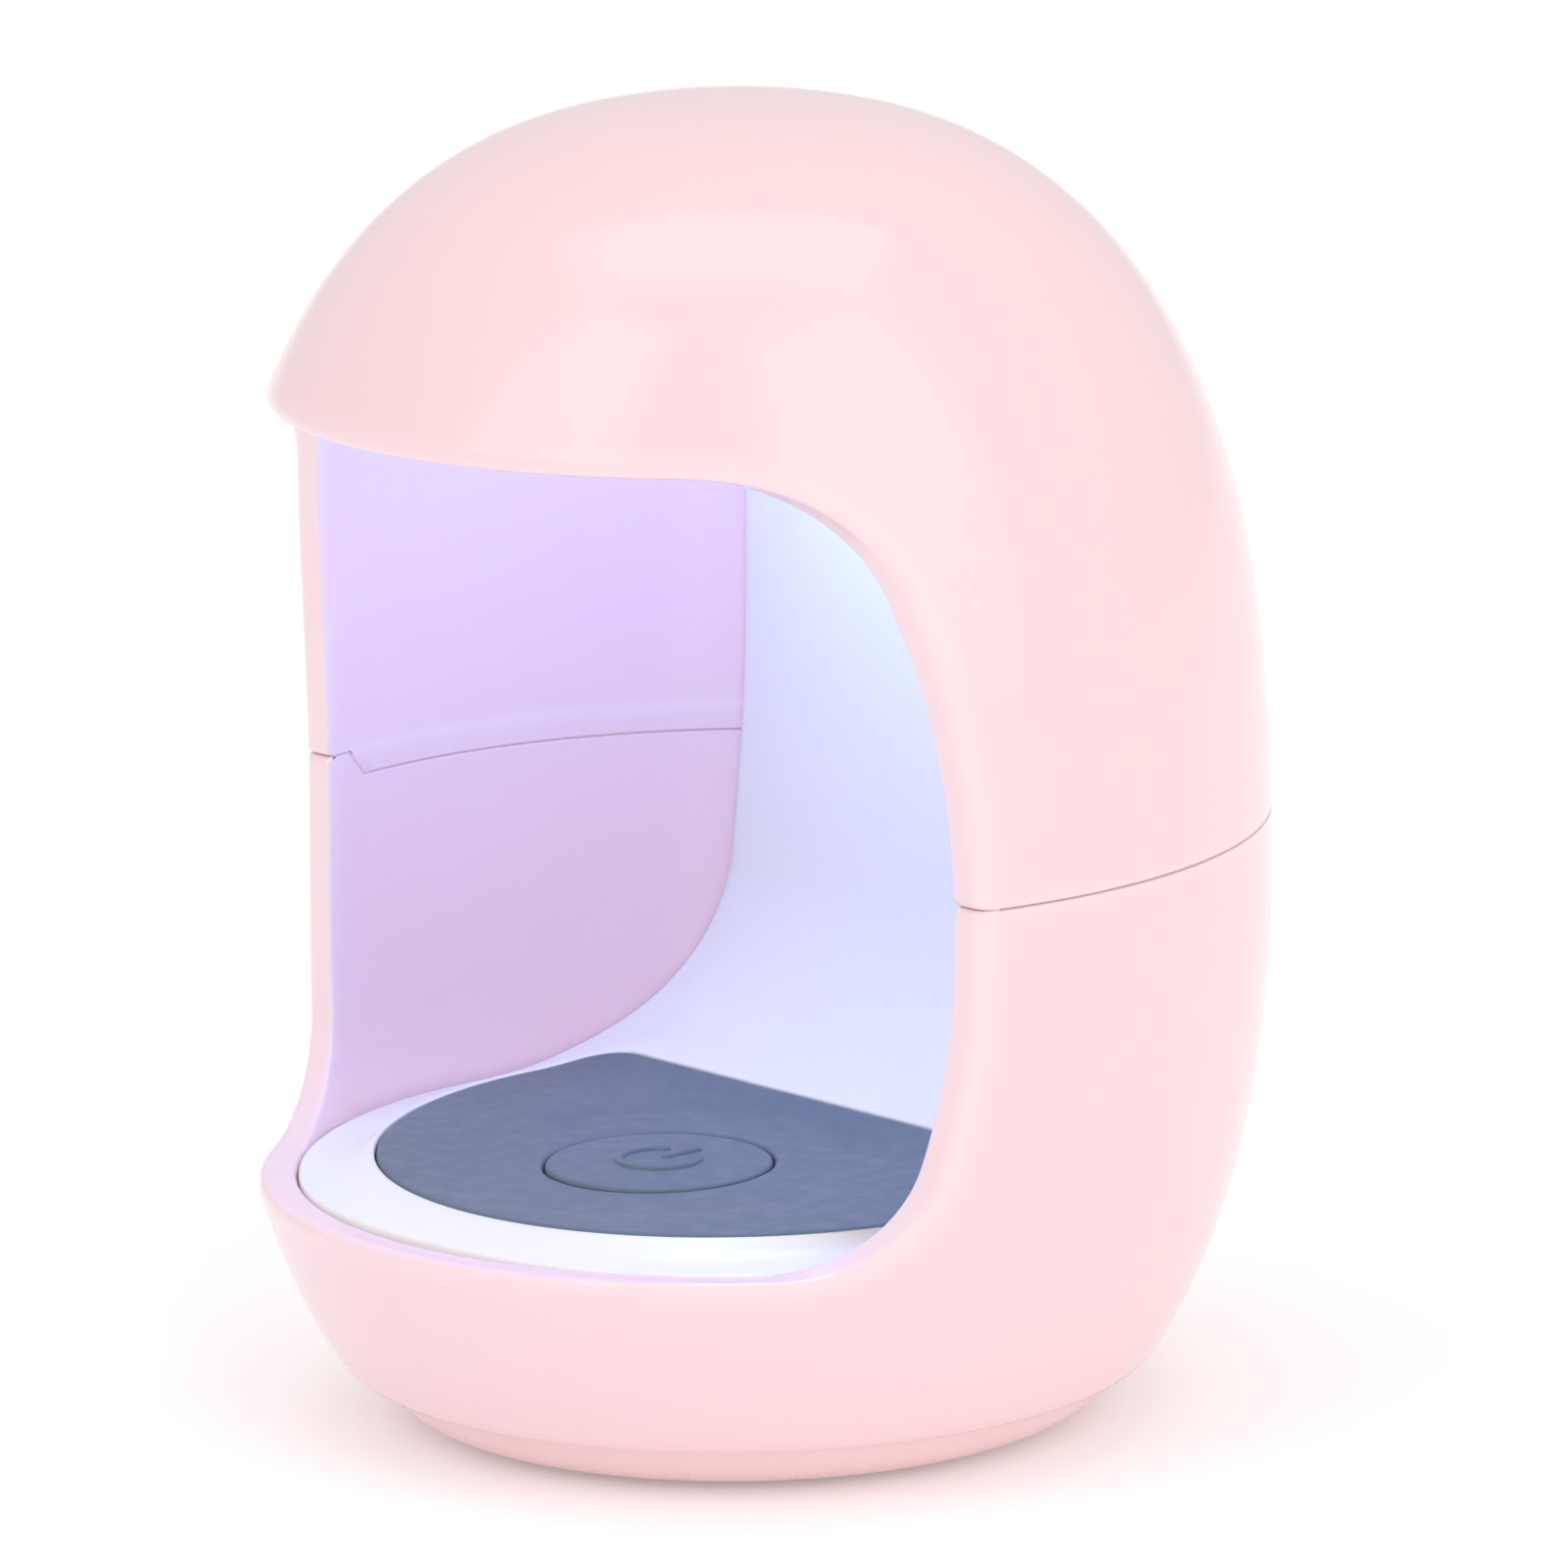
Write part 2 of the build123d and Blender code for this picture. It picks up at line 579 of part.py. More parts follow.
with BuildPart() as control_board:
    with BuildSketch(Plane.XY.offset(BOARD_LOW)):
        Circle(BOARD_RADIUS)
        with Locations((0, BOARD_TAB[1] / 2)):
            Rectangle(BOARD_TAB[0], BOARD_TAB[1])
        with Locations(*on_circle(SCREW_CIRCLE, BASE_ANGLES)):
            Circle(POST_RADIUS + 0.3, mode=Mode.SUBTRACT)
        with Locations(*on_circle(SCREW_CIRCLE, BOARD_ANGLES)):
            Circle(SCREW_RADIUS + 0.15, mode=Mode.SUBTRACT)
    extrude(amount=BOARD_THICK)

control_board.part.label = "control_board"
export_step(control_board.part, "parts/control_board.step")

# components: name, centre on the board, size
BLOCKS = [
    ("driver_chip", (7.2, 0.4), (3.9, 4.9, 1.5)),
    ("power_inductor", (-7.2, 1.0), (5.0, 5.0, 3.0)),
    ("power_diode", (0.0, 5.4), (4.3, 2.6, 2.1)),
]
for name, centre, size in BLOCKS:
    with BuildPart() as block:
        with BuildSketch(Plane.XY.offset(BOARD_TOP)):
            with Locations(centre):
                RectangleRounded(size[0], size[1], 0.3)
        extrude(amount=size[2])
        chamfer(block.faces().sort_by(Axis.Z)[-1].edges(), length=0.2)
    block.part.label = name
    export_step(block.part, f"parts/{name}.step")

with BuildPart() as filter_capacitor:
    with BuildSketch(Plane.XY.offset(BOARD_TOP)):
        with Locations((6.6, 12.6)):
            Circle(2.5)
    extrude(amount=5.0)
    fillet(filter_capacitor.faces().sort_by(Axis.Z)[-1].edges(), radius=0.3)

filter_capacitor.part.label = "filter_capacitor"
export_step(filter_capacitor.part, "parts/filter_capacitor.step")

with BuildPart() as chip_resistors:
    with BuildSketch(Plane.XY.offset(BOARD_TOP)):
        with Locations((-5.5, -13.2), (0, -13.2), (5.5, -13.2)):
            Rectangle(2.0, 1.25)
    extrude(amount=0.5)

chip_resistors.part.label = "chip_resistors"
export_step(chip_resistors.part, "parts/chip_resistors.step")

# power inlet: a pressed steel shell with a plastic tongue inside
with BuildPart() as socket_shell:
    with BuildSketch(Plane.XZ.offset(-SOCKET_REAR)):
        with Locations((0, SOCKET_Z)):
            RectangleRounded(SOCKET_WIDTH, SOCKET_HEIGHT, 0.7)
            RectangleRounded(SOCKET_WIDTH - 2 * SOCKET_SHEET, SOCKET_HEIGHT - 2 * SOCKET_SHEET, 0.4,
                             mode=Mode.SUBTRACT)
    extrude(amount=-(SOCKET_MOUTH - SOCKET_REAR))

socket_shell.part.label = "socket_shell"
export_step(socket_shell.part, "parts/socket_shell.step")

with BuildPart() as socket_tongue:
    with BuildSketch(Plane.XZ.offset(-SOCKET_REAR)):
        with Locations((0, SOCKET_Z)):
            RectangleRounded(SOCKET_WIDTH - 2 * SOCKET_SHEET, SOCKET_HEIGHT - 2 * SOCKET_SHEET, 0.4)
    extrude(amount=-1.5)
    with BuildSketch(Plane.XZ.offset(-SOCKET_REAR)):
        with Locations((0, SOCKET_Z + 0.2)):
            Rectangle(4.6, 0.6)
    extrude(amount=-(SOCKET_MOUTH - SOCKET_REAR - 0.6))

socket_tongue.part.label = "socket_tongue"
export_step(socket_tongue.part, "parts/socket_tongue.step")

# two-way connector that joins the lamp head's wires to the board
WIRE_MIDDLE = sum(WIRE_X) / 2
with BuildPart() as wire_socket:
    with BuildSketch(Plane.XY.offset(BOARD_TOP)):
        with Locations((WIRE_MIDDLE, PLUG_Y)):
            Rectangle(6.2, 4.6)
    extrude(amount=4.0)
    with BuildSketch(Plane.XY.offset(BOARD_TOP + 0.8)):
        with Locations((WIRE_MIDDLE, PLUG_Y)):
            Rectangle(5.2, 3.6)
    extrude(amount=4.0, mode=Mode.SUBTRACT)

wire_socket.part.label = "wire_socket"
export_step(wire_socket.part, "parts/wire_socket.step")

with BuildPart() as wire_plug:
    with BuildSketch(Plane.XY.offset(BOARD_TOP + 0.8)):
        with Locations((WIRE_MIDDLE, PLUG_Y)):
            Rectangle(5.1, 3.5)
    extrude(amount=PLUG_TOP - BOARD_TOP - 0.8)

wire_plug.part.label = "wire_plug"
export_step(wire_plug.part, "parts/wire_plug.step")


def route_radii(points):
    """The largest bend at each corner that its two runs leave room for."""
    radii = []
    for before, corner, after in zip(points, points[1:], points[2:]):
        first = Vector(*corner) - Vector(*before)
        second = Vector(*after) - Vector(*corner)
        turn = math.radians(first.get_angle(second))
        radii.append(0.45 * min(first.length, second.length) / math.tan(turn / 2))
    return radii


for name, x in zip(("led_wire_red", "led_wire_black"), WIRE_X):
    with BuildPart() as wire:
        route = [(x, y, z) for y, z in WIRE_ROUTE]
        with BuildLine() as path:
            FilletPolyline(*route, radius=route_radii(route))
        with BuildSketch(Plane(origin=route[0], z_dir=(0, 0, 1))):
            Circle(WIRE_RADIUS)
        sweep(path=path.line)
    wire.part.label = name
    export_step(wire.part, f"parts/{name}.step")

# ---------------------------------------------------------------- lamp head

# white ceiling with three flared holes for the light and posts that space the LED board
with BuildPart() as lamp_ceiling:
    revolve(egg_section(WALL + FIT_GAP, CEILING_LOW, CEILING_LOW + CEILING_THICK), axis=Axis.Z)
    with BuildSketch(Plane.XY.offset(CEILING_LOW + CEILING_THICK)):
        with Locations(*on_circle(LAMP_SCREW_CIRCLE, LAMP_SCREW_ANGLES)):
            Circle(POST_RADIUS)
    extrude(amount=LED_BOARD_LOW - CEILING_LOW - CEILING_THICK)
    with BuildSketch(Plane.XY.offset(CEILING_LOW)):
        with Locations(*on_circle(LED_CIRCLE, LED_ANGLES)):
            Circle(LED_HOLE)
    extrude(amount=CEILING_THICK, mode=Mode.SUBTRACT)
    holes = lamp_ceiling.faces().sort_by(Axis.Z)[0].edges().filter_by(GeomType.CIRCLE)
    chamfer(holes.filter_by(lambda edge: edge.radius < LED_HOLE + 0.1), length=LED_HOLE_FLARE)
    with BuildSketch(Plane.XY.offset(CEILING_LOW)):
        with Locations(*on_circle(LAMP_SCREW_CIRCLE, LAMP_SCREW_ANGLES)):
            Circle(SCREW_RADIUS + 0.15)
        with Locations((WIRE_MIDDLE, WIRE_NOTCH_Y)):
            Rectangle(*WIRE_NOTCH)
    extrude(amount=LED_BOARD_LOW - CEILING_LOW, mode=Mode.SUBTRACT)

lamp_ceiling.part.label = "lamp_ceiling"
export_step(lamp_ceiling.part, "parts/lamp_ceiling.step")

with BuildPart() as led_board:
    with BuildSketch(Plane.XY.offset(LED_BOARD_LOW)):
        Circle(LED_BOARD_RADIUS)
        with Locations(*on_circle(LAMP_SCREW_CIRCLE, LAMP_SCREW_ANGLES)):
            Circle(SCREW_RADIUS + 0.15, mode=Mode.SUBTRACT)
    extrude(amount=LED_BOARD_THICK)

led_board.part.label = "led_board"
export_step(led_board.part, "parts/led_board.step")

# each UV LED: a square ceramic base with a clear dome on its underside
for number, place in enumerate(on_circle(LED_CIRCLE, LED_ANGLES), start=1):
    with BuildPart() as uv_led:
        with BuildSketch(Plane.XY.offset(LED_BOARD_LOW - LED_BASE)):
            with Locations(place):
                Rectangle(LED_SIZE, LED_SIZE)
        extrude(amount=LED_BASE)
        with Locations((place[0], place[1], LED_BOARD_LOW - LED_BASE)):
            Sphere(LED_LENS, arc_size1=-90, arc_size2=0)
    uv_led.part.label = f"uv_led_{number}"
    export_step(uv_led.part, f"parts/uv_led_{number}.step")

# ---------------------------------------------------------------- screws

with BuildPart() as base_screws:
    with Locations(*on_circle(SCREW_CIRCLE, BASE_ANGLES)):
        add(screw(FOOT_THICK, BASE_SCREW_LENGTH))

base_screws.part.label = "base_screws"
export_step(base_screws.part, "parts/base_screws.step")

with BuildPart() as board_screws:
    with Locations(*on_circle(SCREW_CIRCLE, BOARD_ANGLES)):
        add(screw(BOARD_LOW - HEAD_HEIGHT, BOARD_SCREW_LENGTH))

board_screws.part.label = "board_screws"
export_step(board_screws.part, "parts/board_screws.step")

with BuildPart() as lamp_screws:
    with Locations(*on_circle(LAMP_SCREW_CIRCLE, LAMP_SCREW_ANGLES)):
        add(screw(CEILING_LOW - HEAD_HEIGHT, LAMP_SCREW_LENGTH))

lamp_screws.part.label = "lamp_screws"
export_step(lamp_screws.part, "parts/lamp_screws.step")
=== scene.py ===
# %% [markdown]
# # A mini nail lamp, piece by piece
# The object is an egg-shaped desk lamp, about 70 mm tall, that cures the varnish on one
# fingertip. Two glossy pink shells meet at a fine seam, a white tray curves up behind the
# finger, and a grey silicone pad with a press button lies in the tray. Every size that the
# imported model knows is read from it, so that the finished pieces fit it.

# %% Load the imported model
import math
import bmesh
import bpy
import numpy as np
from mathutils import Matrix, Vector


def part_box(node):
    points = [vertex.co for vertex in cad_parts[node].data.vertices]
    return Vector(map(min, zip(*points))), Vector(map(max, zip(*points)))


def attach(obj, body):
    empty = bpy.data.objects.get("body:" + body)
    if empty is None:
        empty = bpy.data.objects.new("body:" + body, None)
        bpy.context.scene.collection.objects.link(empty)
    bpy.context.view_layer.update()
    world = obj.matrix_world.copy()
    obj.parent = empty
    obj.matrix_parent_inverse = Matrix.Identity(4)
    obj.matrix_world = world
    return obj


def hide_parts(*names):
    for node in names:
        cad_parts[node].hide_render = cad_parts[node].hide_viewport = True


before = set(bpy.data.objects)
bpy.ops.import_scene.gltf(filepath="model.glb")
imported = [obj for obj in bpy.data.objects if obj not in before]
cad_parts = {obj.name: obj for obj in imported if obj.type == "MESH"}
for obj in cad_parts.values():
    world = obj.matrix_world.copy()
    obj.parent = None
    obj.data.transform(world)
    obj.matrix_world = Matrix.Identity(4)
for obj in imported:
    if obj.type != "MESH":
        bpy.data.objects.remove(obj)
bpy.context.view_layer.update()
MM = 0.001


def box_mm(node):
    """Lowest and highest corner of a node, in millimetres."""
    low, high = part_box(node)
    return low / MM, high / MM


def put(name, data):
    """Makes an object and links it into the scene."""
    thing = bpy.data.objects.new(name, data)
    bpy.context.scene.collection.objects.link(thing)
    return thing


# %% [markdown]
# ## The driving sizes
# The height, the widest radius, both seams and the tray's floor come from the packed
# boxes. What a box can't tell is how an outline bends between them, so those numbers
# stand here as named values, in millimetres.

# %% Sizes of the housing
HEIGHT = box_mm("upper_shell")[1].z
WIDEST_R = box_mm("upper_shell")[1].x
SHELL_BOTTOM = box_mm("lower_shell")[0].z
PARTING_Z = box_mm("lower_shell")[1].z
TONGUE_DROP = PARTING_Z - box_mm("upper_shell")[0].z
FLOOR_Z = box_mm("finger_pad")[0].z
CEILING_Z = box_mm("lamp_ceiling")[0].z
WALL = 2.0
WIDEST_Z = 29.4
DOME_RISE_POWER = 2.65
DOME_WIDTH_POWER = 2.5
BOWL_DEPTH = 34.5
BOWL_WIDTH_POWER = 3.3
DOME_STEPS, BOWL_STEPS = 1200, 500
LIP_TOP = 54.6
LIP_LOW = FLOOR_Z
EDGE_TOP = (-11.6, LIP_TOP)
EDGE_DEEPEST = (-7.5, 31.6)
EDGE_LOW = (-10.1, LIP_LOW)
ROUND_TOP = 8.5
ROUND_LOW = 6.8
print(f"height {HEIGHT:.1f}, widest {2 * WIDEST_R:.1f}, seam at {PARTING_Z:.1f}")

# %% [markdown]
# ## The egg's outline
# A real shell like this is moulded from a turned master, so its side view is one smooth
# outline. Free-hand curve points would leave faint ripples in the gloss. A superellipse
# for the dome and another for the bowl give a curve with no ripple at all, and moving
# each point along its own normal gives the inside of the wall.

# %% Outline of the egg, and of the inside of its wall
def egg_outline(inset):
    """Radius, height and length along the half outline, from the bottom to the crown."""
    turn = np.linspace(0, math.pi / 2, DOME_STEPS)
    dome_r = WIDEST_R * np.cos(turn).clip(0) ** (2 / DOME_WIDTH_POWER)
    dome_z = WIDEST_Z + (HEIGHT - WIDEST_Z) * np.sin(turn) ** (2 / DOME_RISE_POWER)
    lowest = math.asin((WIDEST_Z - SHELL_BOTTOM) / BOWL_DEPTH)
    turn = np.linspace(lowest, 0, BOWL_STEPS)[:-1]
    bowl_r = WIDEST_R * np.cos(turn) ** (2 / BOWL_WIDTH_POWER)
    bowl_z = WIDEST_Z - BOWL_DEPTH * np.sin(turn)
    radius = np.concatenate([bowl_r, dome_r])
    height = np.concatenate([bowl_z, dome_z])
    run, rise = np.gradient(radius), np.gradient(height)
    step = np.hypot(run, rise)
    radius = radius - inset * rise / step
    height = height + inset * run / step
    radius[-1], height[-1] = 0.0, HEIGHT - inset
    length = np.concatenate([[0], np.cumsum(np.hypot(np.diff(radius), np.diff(height)))])
    return radius, height, length


def radius_at(outline, z):
    return np.interp(z, outline[1], outline[0])


def length_at(outline, z):
    return np.interp(z, outline[1], outline[2])


def spot_at(outline, length):
    """Radius and height at a length along the outline."""
    return np.interp(length, outline[2], outline[0]), np.interp(length, outline[2], outline[1])


OUTSIDE = egg_outline(0)
INSIDE = egg_outline(WALL)
print(f"outline length {OUTSIDE[2][-1]:.1f} mm, radius at the base {OUTSIDE[0][0]:.2f} mm")

# %% [markdown]
# ## The opening's edge, seen from the side
# The finger's opening is cut straight across the egg. Its rear edge is one long arc, and
# two roundings lead it into the level lips. Working it out as arcs gives each point's
# direction into the wall too, which later sets the soft rounding along the edge.

# %% Arcs of the opening
def circle_through(a, b, c):
    """Centre and radius of the circle through three points."""
    rows = [[2 * (q[0] - a[0]), 2 * (q[1] - a[1])] for q in (b, c)]
    sums = [q[0] ** 2 + q[1] ** 2 - a[0] ** 2 - a[1] ** 2 for q in (b, c)]
    centre = np.linalg.solve(rows, sums)
    return centre, math.dist(centre, a)


REAR_CENTRE, REAR_RADIUS = circle_through(EDGE_TOP, EDGE_DEEPEST, EDGE_LOW)
EDGE_STEP = 0.7
NOTCH = 0.4                  # softened corner where the edge meets the seam
SEAM_GAP = 0.02              # what stays open between the shells


def arc(centre, radius, start, stop, step=EDGE_STEP):
    """Rows of y, z and the direction into the wall, along an arc."""
    count = max(2, round(abs(stop - start) * radius / step))
    angle = np.linspace(start, stop, count + 1)
    ny, nz = np.cos(angle), np.sin(angle)
    return np.stack([centre[0] + radius * ny, centre[1] + radius * nz, ny, nz], axis=1)


def opening_side(way):
    """The opening's edge from the seam to the lip: the side, the corner, and the lip's start."""
    lip, rounding = (LIP_TOP, ROUND_TOP) if way > 0 else (LIP_LOW, ROUND_LOW)
    corner_z = lip - way * rounding
    reach = REAR_RADIUS - rounding
    corner_y = REAR_CENTRE[0] + math.sqrt(reach**2 - (corner_z - REAR_CENTRE[1]) ** 2)
    corner = (corner_y, corner_z)
    meet = math.atan2(corner_z - REAR_CENTRE[1], corner_y - REAR_CENTRE[0])
    seam_z = PARTING_Z + way * SEAM_GAP / 2
    first = math.asin((seam_z - REAR_CENTRE[1]) / REAR_RADIUS)
    side = arc(REAR_CENTRE, REAR_RADIUS, first, meet)
    fine = np.array([0, 0.05, 0.13, 0.25, NOTCH]) / REAR_RADIUS * way
    near_seam = arc(REAR_CENTRE, REAR_RADIUS, first, first + fine[-1])[:1]
    rows = [near_seam[0]]
    for turn in fine[1:]:
        rows.append(arc(REAR_CENTRE, REAR_RADIUS, first + turn, first + turn)[0])
    side = np.concatenate([rows, side[1:]])
    depth = (NOTCH - np.abs(side[:, 1] - seam_z)).clip(0)
    side[:, 0] += NOTCH - np.sqrt(NOTCH**2 - depth**2)
    halfway = way * math.pi / 4
    lower = arc(corner, rounding, meet, halfway)
    upper = arc(corner, rounding, halfway, way * math.pi / 2)
    return np.concatenate([side, lower[1:]]), upper[1:], (corner_y, lip)


for way, name in ((1, "upper"), (-1, "lower")):
    side, corner, lip_start = opening_side(way)
    print(name, "edge:", len(side), "points, lip from", np.round(lip_start, 2))

# %% [markdown]
# ## From outline to skin
# The skin could be a lathed body with the opening cut out by a Boolean, but a Boolean
# leaves slivers along the cut, and gloss shows every one of them. Here the skin is laid
# in rows instead: each row runs from the back of the egg to the opening's edge, and above
# the opening the rows close over the crown. Every point lies exactly on the egg.

# %% Rows of the skin
LIP_COUNT = 9
CROWN_ROWS = 36
NEAR_EDGE = [0, 0.35, 0.8, 1.3, 1.8, 2.3, 2.8, 3.6, 4.6]     # columns beside the edge, mm
COLUMN_STEP = 1.05
SIDE_LENGTH = WIDEST_R * math.acos(EDGE_DEEPEST[0] / WIDEST_R)
FAR_COLUMNS = np.linspace(0, SIDE_LENGTH - NEAR_EDGE[-1], round(SIDE_LENGTH / COLUMN_STEP))
COLUMNS = np.concatenate([FAR_COLUMNS[:-1], SIDE_LENGTH - np.array(NEAR_EDGE[::-1])])
COLUMNS = COLUMNS / SIDE_LENGTH
EDGE_GAP = (1 - COLUMNS) * SIDE_LENGTH


def around(radius, turn, z):
    """Points at a radius and a turn from the back of the egg, with +X first."""
    return np.stack([radius * np.sin(turn), radius * np.cos(turn), z + 0 * turn], axis=-1)


def edge_points(outline, way, setback):
    """The opening's edge on a skin, moved into the wall by setback, in two stretches."""
    side, corner, (lip_y, lip) = opening_side(way)
    stretches = []
    for rows in (side, corner):
        y = rows[:, 0] + setback * rows[:, 2]
        z = rows[:, 1] + setback * rows[:, 3]
        x = np.sqrt((radius_at(outline, z) ** 2 - y**2).clip(0))
        stretches.append(np.stack([x, y, z], axis=1))
    z = lip + way * setback
    radius = radius_at(outline, z)
    turn = np.linspace(math.acos(lip_y / radius), math.pi, LIP_COUNT + 1)[1:]
    tip = around(radius, turn, z)
    tip[-1, 0] = 0
    return stretches[0], np.concatenate([stretches[1], tip])


def skin_rows(outline, way, setback, last_length):
    """Rows of one half of a skin: beside the opening, then on past it to last_length."""
    side, onward = edge_points(outline, way, setback)
    levels = opening_side(way)[0][:, 1]
    beside = []
    for edge, level in zip(side, levels):
        turn = math.atan2(edge[0], edge[1]) * COLUMNS
        z = level + (edge[2] - level) * COLUMNS**4
        beside.append(around(radius_at(outline, z), turn, z))
    border = np.concatenate([beside[-1], onward])
    turn = np.arctan2(border[:, 0], border[:, 1])
    start = length_at(outline, border[:, 2])
    beyond = []
    for share in np.linspace(0, 1, CROWN_ROWS + 1):
        radius, z = spot_at(outline, start + (last_length - start) * share)
        beyond.append(around(radius, turn, z))
    return beside, beyond


class Skin:
    """Points and faces gathered for one mesh, in millimetres."""

    def __init__(self):
        self.points, self.faces = [], []

    def add(self, points):
        first = len(self.points)
        self.points.extend(np.asarray(points, float).reshape(-1, 3).tolist())
        return list(range(first, len(self.points)))

    def grid(self, rows, skip=None):
        """Quads between rows of equal length; skip(row, column) leaves one out."""
        marks = [self.add(row) for row in rows]
        for r in range(len(marks) - 1):
            for c in range(len(marks[r]) - 1):
                if skip and skip(r, c):
                    continue
                self.faces.append((marks[r][c], marks[r][c + 1], marks[r + 1][c + 1], marks[r + 1][c]))
        return marks

    def mirrored(self):
        """Adds the same faces on the other side of X = 0."""
        points = np.array(self.points)
        shift = len(points)
        self.points.extend((points * (-1, 1, 1)).tolist())
        self.faces += [tuple(shift + i for i in reversed(face)) for face in list(self.faces)]
        return self


def make_piece(name, skin, sharp=40, weld=0.002):
    """Turns a Skin into a Blender object: welded, facing outwards and smooth but for its edges."""
    mesh = bpy.data.meshes.new(name)
    work = bmesh.new()
    corners = [work.verts.new(np.array(p) * MM) for p in skin.points]
    for face in skin.faces:
        if len(set(face)) > 2:
            try:
                work.faces.new([corners[i] for i in face])
            except ValueError:
                continue
    bmesh.ops.remove_doubles(work, verts=work.verts, dist=weld * MM)
    bmesh.ops.dissolve_degenerate(work, edges=work.edges, dist=weld * MM / 4)
    bmesh.ops.recalc_face_normals(work, faces=work.faces)
    loose = [v for v in work.verts if not v.link_faces]
    bmesh.ops.delete(work, geom=loose, context="VERTS")
    work.to_mesh(mesh)
    work.free()
    mesh.shade_smooth()
    mesh.set_sharp_from_angle(angle=math.radians(sharp))
    return put(name, mesh)


print("columns beside the opening:", len(COLUMNS), "rows above:", CROWN_ROWS)

# %% [markdown]
# ## The edge of the opening
# On the moulded part the outer edge of the opening is well rounded, so that it is kind
# to the finger, and the inner edge is almost crisp. A bevel modifier would have to guess
# its way round the corners. Because both skins already stop short of the edge, a small
# curved strip can be laid from one to the other, with the flat cut face between them.

# %% Strip from the outer skin to the inner skin
OUTER_ROUND = 0.85
INNER_ROUND = 0.25


def bend(start, corner, stop, steps):
    """Rows that round a corner from start to stop, without the two end rows."""
    rows = []
    for share in np.linspace(0, 1, steps + 1)[1:-1]:
        rows.append((1 - share) ** 2 * start + 2 * share * (1 - share) * corner + share**2 * stop)
    return rows


def edge_strip(way):
    """Rows along the opening's edge, from the outer skin over the cut face to the inner skin."""
    outer = np.concatenate(edge_points(OUTSIDE, way, OUTER_ROUND))
    crest = np.concatenate(edge_points(OUTSIDE, way, 0))
    brink = np.concatenate(edge_points(INSIDE, way, 0))
    inner = np.concatenate(edge_points(INSIDE, way, INNER_ROUND))
    across = brink - crest
    across /= np.linalg.norm(across, axis=1, keepdims=True)
    near, far = crest + across * OUTER_ROUND, brink - across * INNER_ROUND
    middle = [near + (far - near) * share for share in (1 / 3, 2 / 3)]
    return [outer, *bend(outer, crest, near, 7), near, *middle, far, *bend(far, brink, inner, 4), inner]


print("rows over the edge:", len(edge_strip(1)))

# %% [markdown]
# ## The lap joint at the seam
# Two shells that only met face to face would let light out and slide on each other. The
# upper shell has a thin tongue inside, which stands behind the lower shell's rim, so from
# inside the seam is seen lower than from outside. The tongue stops short of the opening
# and ramps down, which is the little step seen on the opening's edge.

# %% Faces of the lap joint
SEAM_ROUND = 0.12
TONGUE_INSET = 1.0
TONGUE_START = 1.3           # how far from the opening's edge the tongue starts
DROP = TONGUE_DROP * np.clip((EDGE_GAP - TONGUE_START) / TONGUE_DROP, 0, 1)


def seam_faces(skin, way, strip, outer_row, inner_row):
    """Closes the wall at the seam, between the outer and the inner skin's first rows."""
    z = PARTING_Z + way * SEAM_GAP / 2
    rows = [outer_row]
    steps = ((SEAM_ROUND, 0), (TONGUE_INSET, 0), (TONGUE_INSET, DROP), (WALL - SEAM_ROUND, DROP))
    for inset, drop in steps:
        radius = radius_at(OUTSIDE, z) - inset
        edge_y = np.interp(inset, [0, OUTER_ROUND, WALL - INNER_ROUND, WALL],
                           [strip[0][0][1], strip[7][0][1], strip[-5][0][1], strip[-1][0][1]])
        turn = math.acos(edge_y / radius) * COLUMNS
        rows.append(around(radius, turn, z - drop * np.ones_like(turn)))
    rows.append(inner_row)
    skin.grid(rows)
    ends = [row[-1] for row in rows]
    cap = [row[0] for row in strip] + ends[::-1]
    skin.faces.append(tuple(skin.add(cap)))


def shell_half(way, last_outer, last_inner):
    """One half of a shell, from the seam to where its skins end."""
    skin = Skin()
    strip = edge_strip(way)
    outer_side, outer_far = skin_rows(OUTSIDE, way, OUTER_ROUND, last_outer)
    inner_side, inner_far = skin_rows(INSIDE, way, INNER_ROUND, last_inner)
    outer_side[0] = outer_side[0].copy()
    outer_side[0][:, 2] += way * SEAM_ROUND
    seam_z = PARTING_Z + way * SEAM_GAP / 2
    foot = seam_z - DROP + way * SEAM_ROUND
    if way > 0:
        turn = np.arctan2(inner_side[0][:, 0], inner_side[0][:, 1])
        between = [seam_z + (foot - seam_z) * share for share in (1, 0.5)]
        added = [around(radius_at(INSIDE, z), turn, z) for z in between]
        inner_side = added + inner_side
    else:
        for row in inner_side:
            turn = np.arctan2(row[:, 0], row[:, 1])
            z = np.minimum(row[:, 2], foot)
            row[:] = around(radius_at(INSIDE, z), turn, z)
    skin.grid(strip_columns(strip))
    seam_faces(skin, way, strip, outer_side[0], inner_side[0])
    return skin, outer_side, outer_far, inner_side, inner_far


def strip_columns(strip):
    """The same strip as rows that run across the edge."""
    return [np.array([row[i] for row in strip]) for i in range(len(strip[0]))]


# %% [markdown]
# ## The upper shell
# The dome's two skins end in a point at the crown. The mirrored half joins it along the
# middle, and the weld in make_piece closes the line between them.

# %% Make the upper shell
skin, outer_side, outer_far, inner_side, inner_far = shell_half(1, OUTSIDE[2][-1], INSIDE[2][-1])
for rows in (outer_side, outer_far, inner_side, inner_far):
    skin.grid(rows)
upper_shell = make_piece("upper_shell_skin", skin.mirrored())
print("upper shell:", len(upper_shell.data.polygons), "faces")

